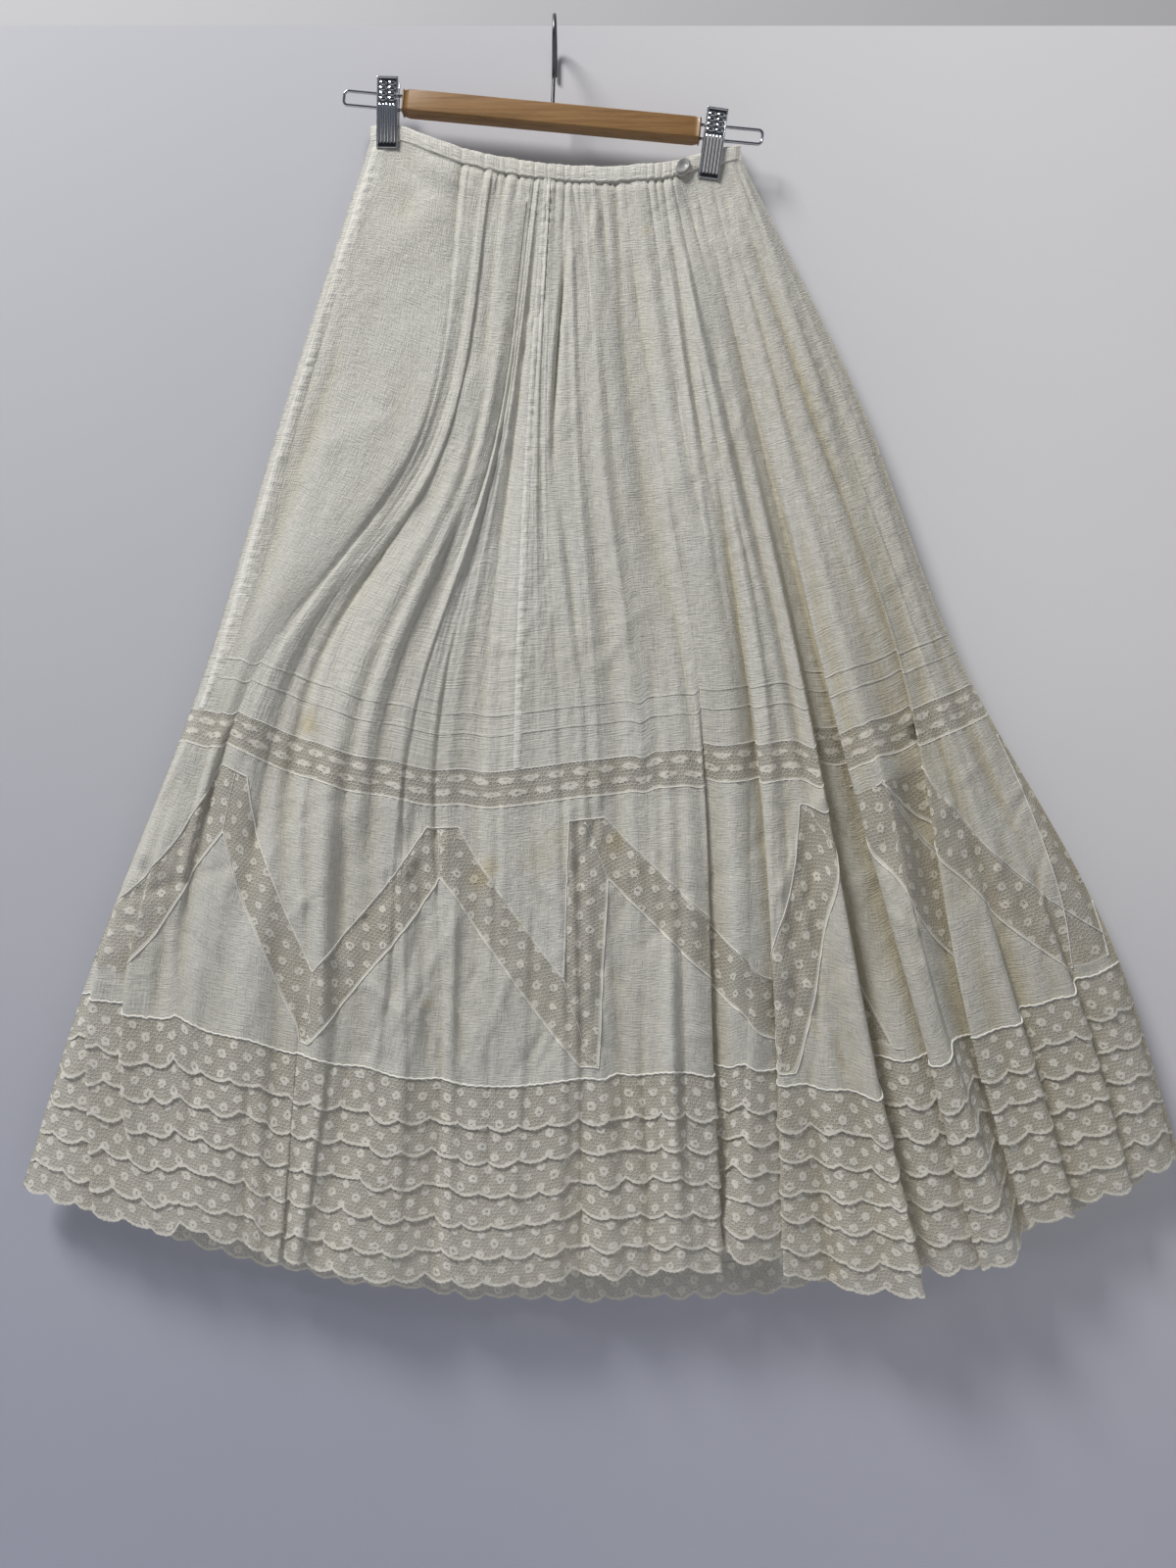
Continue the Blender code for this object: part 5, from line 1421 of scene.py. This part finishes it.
def add_band(sheet):
    """The band: a folded strip, plump between its stitched lower edge and its fold on top."""
    # section of the band: shares of its height, and how far each stands out
    share, out = np.array([
        (-0.06, 0.2), (0.0, 0.75), (0.07, 0.95), (0.14, 0.8), (0.3, 1.1), (0.5, 1.2), (0.7, 1.15),
        (0.86, 1.05), (0.95, 0.95), (1.0, 0.75), (1.0, 0.3), (0.93, 0.05), (0.6, 0.0),
    ]).T[..., None]
    run, side = sheet.run[0], sheet.name
    rise = BAND_HEIGHT * share * (1 + 0.02 * np.sin(run / 9.0) + 0.015 * np.sin(run / 3.7))
    ripple = 0.16 * np.sin(run / 2.6 + np.sin(run / 7.0)) + 0.2 * np.sin(run / 11.0)
    height = 1.5 * out + ripple * np.exp(-(((share - 0.8) / 0.3) ** 2))
    points = sheet.place(np.zeros(rise.shape), np.arange(len(run)), height)
    points[..., 2] += rise
    flat = np.stack([np.broadcast_to(run, rise.shape), -rise], axis=-1) * MM
    obj = add_piece(
        f"waistband_{side}_lawn", [f"waistband_{side}"], points,
        grid_faces(*rise.shape, -sheet.turn), "band", flat, aged=np.full(rise.shape, 0.05),
    )


def band_place(sheet, x, rise, height):
    """A place on the waistband's front: across, above its seam and out from it.

    Between the tab's ends the depth runs straight, so that the tab and button lie flat.
    """
    x, count = np.append(x, [TAB_START, TAB_END]), np.arange(sheet.last + 1)
    columns = np.interp(x, sheet.across[0], count)
    depth = sheet.place(np.zeros(2), columns[-2:], 1.0)[:, 1]
    points = sheet.place(np.zeros(len(x) - 2), columns[:-2], SHELL).reshape(*np.shape(rise), 3)
    share = np.clip((points[..., 0] - TAB_START) / (TAB_END - TAB_START), -0.2, 1.4)
    points[..., 1] = depth[0] + (depth[1] - depth[0]) * share - height
    points[..., 2] += rise
    return points


def add_tab(sheet):
    """The tab: a flat pointed strip over the band, its faces plump inside a stitched rim."""
    outline = np.array([
        (TAB_END + 6, 0.6), (TAB_END + 6, BAND_HEIGHT - 0.9), (TAB_START + 7, BAND_HEIGHT - 2.0),
        (TAB_START + 1.6, 0.72 * BAND_HEIGHT), (TAB_START, 0.45 * BAND_HEIGHT),
        (TAB_START + 1.5, 0.1 * BAND_HEIGHT), (TAB_START + 6, -TAB_DROP + 0.6),
        (TAB_START + 10, -TAB_DROP), (TAB_START + 14, -1.4), (TAB_END - 2, 0.4),
    ])
    middle = np.array([TAB_START + 9.5, 0.42 * BAND_HEIGHT])
    closed = np.concatenate([outline, outline[:1]])
    length = np.pad(np.cumsum(np.linalg.norm(np.diff(closed, axis=0), axis=1)), (1, 0))
    steps = np.linspace(0, length[-1], 97)[:-1]
    rim = np.stack([np.interp(steps, length, closed[:, k]) for k in (0, 1)], axis=1)
    # rings from the rim to the middle: shares of the way out, and how far each stands out
    shares, lifts = np.array([
        (0.999, 0.3), (1.0, 0.75), (0.985, 1.1), (0.93, 1.2), (0.86, 1.05), (0.8, 1.25),
        (0.5, 1.35), (0.2, 1.35),
    ]).T
    spots = (middle + shares[:, None, None] * (rim - middle)).reshape(-1, 2)
    spots = np.concatenate([spots, middle[None]])
    lifts = np.append(np.repeat(lifts, len(rim)), lifts[-1])
    points = band_place(sheet, spots[:, 0], spots[:, 1], lifts)
    count, tip = len(rim), len(points) - 1
    faces = grid_faces(len(shares), count, 1.0, closed=True)
    faces += [(tip - count + k, tip, tip - count + (k + 1) % count) for k in range(count)]
    flat, aged = points[:, [0, 2]] * MM, np.full(len(points), 0.1)
    obj = add_piece("band_tab", ["waistband_tab"], points, faces, "band", flat, aged=aged)


class SKIRT_OT_waistband(bpy.types.Operator):
    """Builds the waistband, front and back, and the tab that carries the button"""

    bl_idname = "skirt.waistband"
    bl_label = "Waistband"

    def execute(self, context):
        for sheet in sheets():
            add_band(sheet)
        add_tab(sheets()[0])
        return {"FINISHED"}


class SKIRT_OT_button(bpy.types.Operator):
    """Builds the shell button on the tab"""

    bl_idname = "skirt.button"
    bl_label = "Button"

    def execute(self, context):
        # profile of the button: radius as a share, and height off the tab in millimetres
        profile = np.array([
            (0.0, 0.0), (0.7, 0.0), (0.94, 0.35), (1.0, 0.9), (0.99, 1.5), (0.93, 2.0),
            (0.84, 2.25), (0.76, 2.15), (0.68, 1.85), (0.6, 1.72), (0.5, 1.66), (0.42, 1.4),
            (0.36, 1.1), (0.28, 1.0), (0.14, 0.98), (0.0, 0.98),
        ])
        angle = math.tau * np.arange(64) / 64
        radius = BUTTON_RADIUS * profile[:, :1]
        rise = 0.36 * BAND_HEIGHT + radius * np.sin(angle)
        x, height = BUTTON_X + radius * np.cos(angle), 1.65 + profile[:, 1:]
        points = band_place(sheets()[0], x, rise, height)
        for end in (0, -1):
            points[end] = points[end].mean(axis=0)
        faces = grid_faces(*rise.shape, 1.0, closed=True)
        add_piece("pearl_button", ["button"], points, faces, "pearl")
        return {"FINISHED"}


# Hanger


def turned(points, angle, centre_x, centre_z):
    """Points turned about the Y axis by an angle, then moved to a centre."""
    points = np.asarray(points, float)
    cos, sin = math.cos(angle), math.sin(angle)
    x = points[..., 0] * cos + points[..., 2] * sin + centre_x
    z = -points[..., 0] * sin + points[..., 2] * cos + centre_z
    return np.stack([x, points[..., 1], z], axis=-1)


def tilted(points):
    """Points of the level hanger, turned about the bar's centre to hang as shown."""
    return turned(points, TILT, BAR_CENTRE_X, BAR_CENTRE_Z)


class SKIRT_OT_bar(bpy.types.Operator):
    """Builds the wooden bar with its softened corners"""

    bl_idname = "skirt.bar"
    bl_label = "Wooden Bar"

    def execute(self, context):
        # a rounded rectangle swept along the bar: its rings shrink in an arc at both ends
        corner, half = 1.3, np.array([BAR_DEPTH, BAR_HEIGHT]) / 2
        arc = 0.5 * math.pi * (np.repeat(range(4), 7) + np.tile(np.arange(7) / 6, 4))
        signs = np.repeat([(1, 1), (-1, 1), (-1, -1), (1, -1)], 7, axis=0)
        ring = signs * (half - corner) + corner * np.stack([np.cos(arc), np.sin(arc)], axis=1)
        arc = 0.5 * math.pi * np.arange(6) / 5
        ends, middle = corner * (1 - np.sin(arc)) - BAR_LENGTH / 2, BAR_LENGTH / 2 - 6
        x = np.concatenate([ends, np.linspace(-middle, middle, 9), -ends[::-1]])
        shrink = np.concatenate([corner * (1 - np.cos(arc)), np.zeros(9)])
        shrink = np.concatenate([shrink, shrink[5::-1]])[:, None, None]
        sections = ring * (1 - shrink / half)
        along = np.broadcast_to(x[:, None, None], (len(x), len(ring), 1))
        points = tilted(np.concatenate([along, sections], axis=-1))
        faces = tube_faces(len(x), len(ring), -1.0)
        add_piece("beech_bar", ["hanger_bar"], points, faces, "beech")
        return {"FINISHED"}


class SKIRT_OT_wires(bpy.types.Operator):
    """Builds the wire hook and the two wire loops"""

    bl_idname = "skirt.wires"
    bl_label = "Hook And Loops"

    def execute(self, context):
        self.hook()
        self.loop("left", -1, LOOP_REACH[0])
        self.loop("right", 1, LOOP_REACH[1])
        return {"FINISHED"}

    def hook(self):
        """The hook: a stem that bows back, a half circle over the rail, and a drawn-out tip."""
        foot_x, _, foot_z = tilted((0.0, 0.0, BAR_HEIGHT / 2 - 2.0))
        wire, lean, share = HOOK_RADIUS + HOOK_WIRE, 2.0, np.linspace(0.0, 1.0, 40)
        angle = np.linspace(math.radians(176), 0.0, 48)
        fall = np.array([0.3, 0.6, 0.9, 0.97, 1.0])
        x = foot_x + lean * np.append(share, np.ones(len(angle) + len(fall)))
        bow, arc = -wire * ease((share - 0.45) / 0.55), wire * np.cos(angle)
        y = np.concatenate([bow, arc, np.full(len(fall), wire)])
        stem, crown = foot_z - (HOOK_RADIUS + foot_z) * share, wire * np.sin(angle) - HOOK_RADIUS
        z = np.concatenate([stem, crown, -HOOK_RADIUS - HOOK_TIP_DROP * fall])
        radius = np.full(len(x), HOOK_WIRE)
        radius[-3:] *= (0.97, 0.8, 0.4)
        points, faces = tube(np.stack([x, y, z], axis=1), radius, 14)
        add_piece("wire_hook", ["hook"], points, faces, "steel")

    def loop(self, name, side, reach):
        """A loop: two rods joined by a bend with round corners."""
        end, half = (reach - BAR_CENTRE_X) / math.cos(TILT), ROD_SPREAD / 2
        turn = 0.5 * math.pi * np.linspace(0, 1, 10)
        straight = np.linspace(side * (BAR_LENGTH / 2 - 2.0), end - side * ROD_CORNER, 12)[:-1]
        x = np.append(straight, end - side * ROD_CORNER * (1 - np.sin(turn)))
        z = np.append(0 * straight, -ROD_CORNER * (1 - np.cos(turn))) + half
        upper = np.stack([x, 0 * x, z], axis=1)
        path = np.concatenate([upper, upper[::-1] * (1.0, 1.0, -1.0)])
        points, faces = tube(tilted(path), ROD_WIRE, 12)
        add_piece(f"{name}_wire_loop", [f"{name}_loop"], points, faces, "chrome")


def jaw_surface():
    """Jaw of a clip as a grid: rolled rim, two columns of pressed lozenges above, flutes below.

    Across it, the middle is the face and both ends turn back as flanges. Down it, the
    depth follows the side view: flared at the top, nipped in to the lip.
    """
    spring, low = ROD_SPREAD / 2 - ROD_WIRE, CLIP_TOP - CLIP_HEIGHT
    flange = np.linspace(1.02, 1.5, 5)
    across = np.concatenate([-flange[::-1], np.linspace(-1.0, 1.0, 61), flange])
    s, t = np.meshgrid(across, np.linspace(0.0, 1.0, 150))
    z = CLIP_TOP - CLIP_HEIGHT * t
    depth = CLIP_SHEET + np.interp(
        z, [low, low + 4, -8, 8, CLIP_TOP - 4, CLIP_TOP],
        [CLIP_LIP, CLIP_LIP + 0.9, spring, spring, spring + 0.2, spring + 1.2],
    )
    rim = np.maximum(np.abs(s), np.abs(2 * t - 1) ** 3.2)
    out = 0.55 * np.exp(-(((rim - 0.93) / 0.05) ** 2)) - 0.2 * (rim < 0.9)
    upper = (t > 0.05) & (t < 0.35) & (np.abs(s) < 0.84)
    lozenges = np.abs(np.sin((t - 0.05) / 0.3 * 4 * math.pi)) * np.abs(np.sin(s / 0.84 * math.pi))
    out += upper * 0.85 * np.clip(lozenges * 1.8 - 0.45, 0, 1) ** 0.7
    lower = (t > 0.38) & (t < 0.94) & (np.abs(s) < 0.8)
    ends = np.clip((t - 0.38) / 0.02, 0, 1) * np.clip((0.94 - t) / 0.02, 0, 1)
    out += lower * ends * 0.6 * (0.5 + 0.5 * np.cos(s / 0.8 * 5 * math.pi))
    out -= np.clip((t - 0.955) / 0.045, 0, 1) ** 1.5
    turn = np.clip(np.abs(s) - 1.0, 0.0, 0.5) / 0.5
    y = -(depth + out * (turn == 0)) + turn * np.clip(depth - CLIP_LIP, 0.6, 3.2)
    return np.stack([np.clip(s, -1, 1) * CLIP_WIDTH / 2, y, z], axis=-1)


class SKIRT_OT_clips(bpy.types.Operator):
    """Builds the two pressed clips with their springs"""

    bl_idname = "skirt.clips"
    bl_label = "Clips"

    def execute(self, context):
        clips = ("left", LEFT_CLIP_X, LEFT_CLIP_LEAN), ("right", RIGHT_CLIP_X, RIGHT_CLIP_LEAN)
        turns = np.linspace(0.0, COIL_TURNS, 100)
        angle, along = math.tau * turns, COIL_LENGTH * turns / COIL_TURNS - COIL_LENGTH / 2
        coil = np.stack([along, COIL_RADIUS * np.cos(angle), COIL_RADIUS * np.sin(angle)], axis=1)
        for name, x, lean in clips:
            centre_x, _, centre_z = tilted(((x - BAR_CENTRE_X) / math.cos(TILT), 0.0, 0.0))
            for jaw, face in (("front", 1.0), ("back", -1.0)):
                grid = jaw_surface() * (1.0, face, 1.0)
                points, faces = turned(grid, lean, centre_x, centre_z), grid_faces(150, 71, face)
                nodes = [f"{name}_clip_{jaw}"]
                obj = add_piece(f"{name}_{jaw}_jaw", nodes, points, faces, "chrome")
                solid = obj.modifiers.new("sheet", "SOLIDIFY")
                solid.thickness, solid.offset = JAW_THICKNESS * MM, -1.0
            points, faces = tube(turned(coil, TILT, centre_x, centre_z), COIL_WIRE, 6)
            add_piece(f"{name}_coil_spring", [f"{name}_clip_spring"], points, faces, "chrome")
        return {"FINISHED"}


# Stage


def stage_wall(name, finish, x, other, fixed, level=False):
    """A flat grid of the stage, upright at a depth, or level at a height."""
    grid_x, grid_other = np.meshgrid(x, other)
    rest = np.full_like(grid_x, fixed)
    places = (grid_x, grid_other, rest) if level else (grid_x, rest, grid_other)
    faces = grid_faces(*rest.shape)
    obj = add_mesh(name, np.stack(places, axis=-1), faces, finish, smooth=False)


class SKIRT_OT_stage(bpy.types.Operator):
    """Builds the pale board, the floor, the lamps and the camera"""

    bl_idname = "skirt.stage"
    bl_label = "Stage"

    def execute(self, context):
        scene, wide = context.scene, np.linspace(-3000, 3000, 5)
        board_x, board_z = np.linspace(-1500, 1500, 7), np.linspace(BOARD_TOP, FLOOR, 5)
        stage_wall("board", "board", board_x, board_z, BOARD_BEHIND)
        stage_wall("floor", "floor", wide, wide[::-1], FLOOR, level=True)
        stage_wall("far_wall", "floor", wide, np.linspace(1500, FLOOR, 5), WALL_BEHIND)
        self.lamps(scene)
        self.room(scene)
        camera = bpy.data.cameras.new("camera")
        camera.lens, camera.sensor_width = 26.0, 36.0
        camera.clip_start = 0.05
        eye = bpy.data.objects.new("camera", camera)
        eye.location = (SIGHT_X * MM, -SIGHT_DISTANCE * MM, SIGHT_Z * MM)
        eye.rotation_euler = (math.radians(90), 0.0, 0.0)
        scene.collection.objects.link(eye)
        scene.camera = eye
        scene.view_settings.view_transform = "Standard"
        return {"FINISHED"}

    def room(self, scene):
        """Light from all round, weak and bluish, and stronger from above than from below."""
        world = bpy.data.worlds.new("pale_room")
        world.use_nodes = True
        add, sky = partial(add_node, world.node_tree), world.node_tree.nodes["Background"]
        ray = add("TexCoord", out="Generated")
        up, away = (add("SeparateXYZ", ray, out=axis) for axis in "ZY")
        strength = add("MapRange", up, -0.4, 0.7, 0.17, 0.37)
        # the room behind the viewer is dark, which the chrome mirrors
        viewer = add("MapRange", away, -0.92, -0.6, 0.15, 1.0)
        put(sky.inputs["Color"], linear("D3DBE8"))
        put(sky.inputs["Strength"], add("Math MULTIPLY", strength, viewer))
        scene.world = world

    def lamps(self, scene):
        """A large lamp up on the left and a weaker warm one on the right."""
        power = scene.skirt_stage.key
        for name, place, turn, size, share, tone in (
            ("key", (-1.3, -1.35, 1.95), (37, 0, -44), 0.8, 1.0, "FFFDFA"),
            ("fill", (1.7, -1.6, 0.3), (66, 0, 46), 1.2, 0.035, "FFF3E2"),
        ):
            light = bpy.data.lights.new(name, "AREA")
            light.shape, light.size = "SQUARE", size
            light.energy, light.color = share * power, linear(tone)[:3]
            lamp = bpy.data.objects.new(name, light)
            lamp.location, lamp.rotation_euler = place, [math.radians(a) for a in turn]
            scene.collection.objects.link(lamp)


STEPS = (
    SKIRT_OT_gores, SKIRT_OT_tucks, SKIRT_OT_straight_lace, SKIRT_OT_zigzag, SKIRT_OT_edgings,
    SKIRT_OT_seams, SKIRT_OT_waistband, SKIRT_OT_button, SKIRT_OT_bar, SKIRT_OT_wires,
    SKIRT_OT_clips, SKIRT_OT_stage,
)
GROUPS = ((SkirtCloth, "skirt_cloth"), (SkirtHanger, "skirt_hanger"), (SkirtStage, "skirt_stage"))


class SKIRT_PT_panel(bpy.types.Panel):
    """Lists the skirt's pieces and its settings"""

    bl_idname = "SKIRT_PT_panel"
    bl_label = "Long Lace Skirt"
    bl_space_type = "VIEW_3D"
    bl_region_type = "UI"
    bl_category = "Skirt"

    def draw(self, context):
        for _, place in GROUPS:
            group = getattr(context.scene, place)
            for key in group.__annotations__:
                self.layout.prop(group, key)
        for step in STEPS:
            self.layout.operator(step.bl_idname)


def register():
    for group, place in GROUPS:
        bpy.utils.register_class(group)
        setattr(bpy.types.Scene, place, bpy.props.PointerProperty(type=group))
    for step in (*STEPS, SKIRT_PT_panel):
        bpy.utils.register_class(step)


def unregister():
    for step in (SKIRT_PT_panel, *reversed(STEPS)):
        bpy.utils.unregister_class(step)
    for group, place in reversed(GROUPS):
        delattr(bpy.types.Scene, place)
        bpy.utils.unregister_class(group)


def main():
    register()
    for step in STEPS:
        group, name = step.bl_idname.split(".")
        getattr(getattr(bpy.ops, group), name)()


if __name__ == "__main__":
    main()
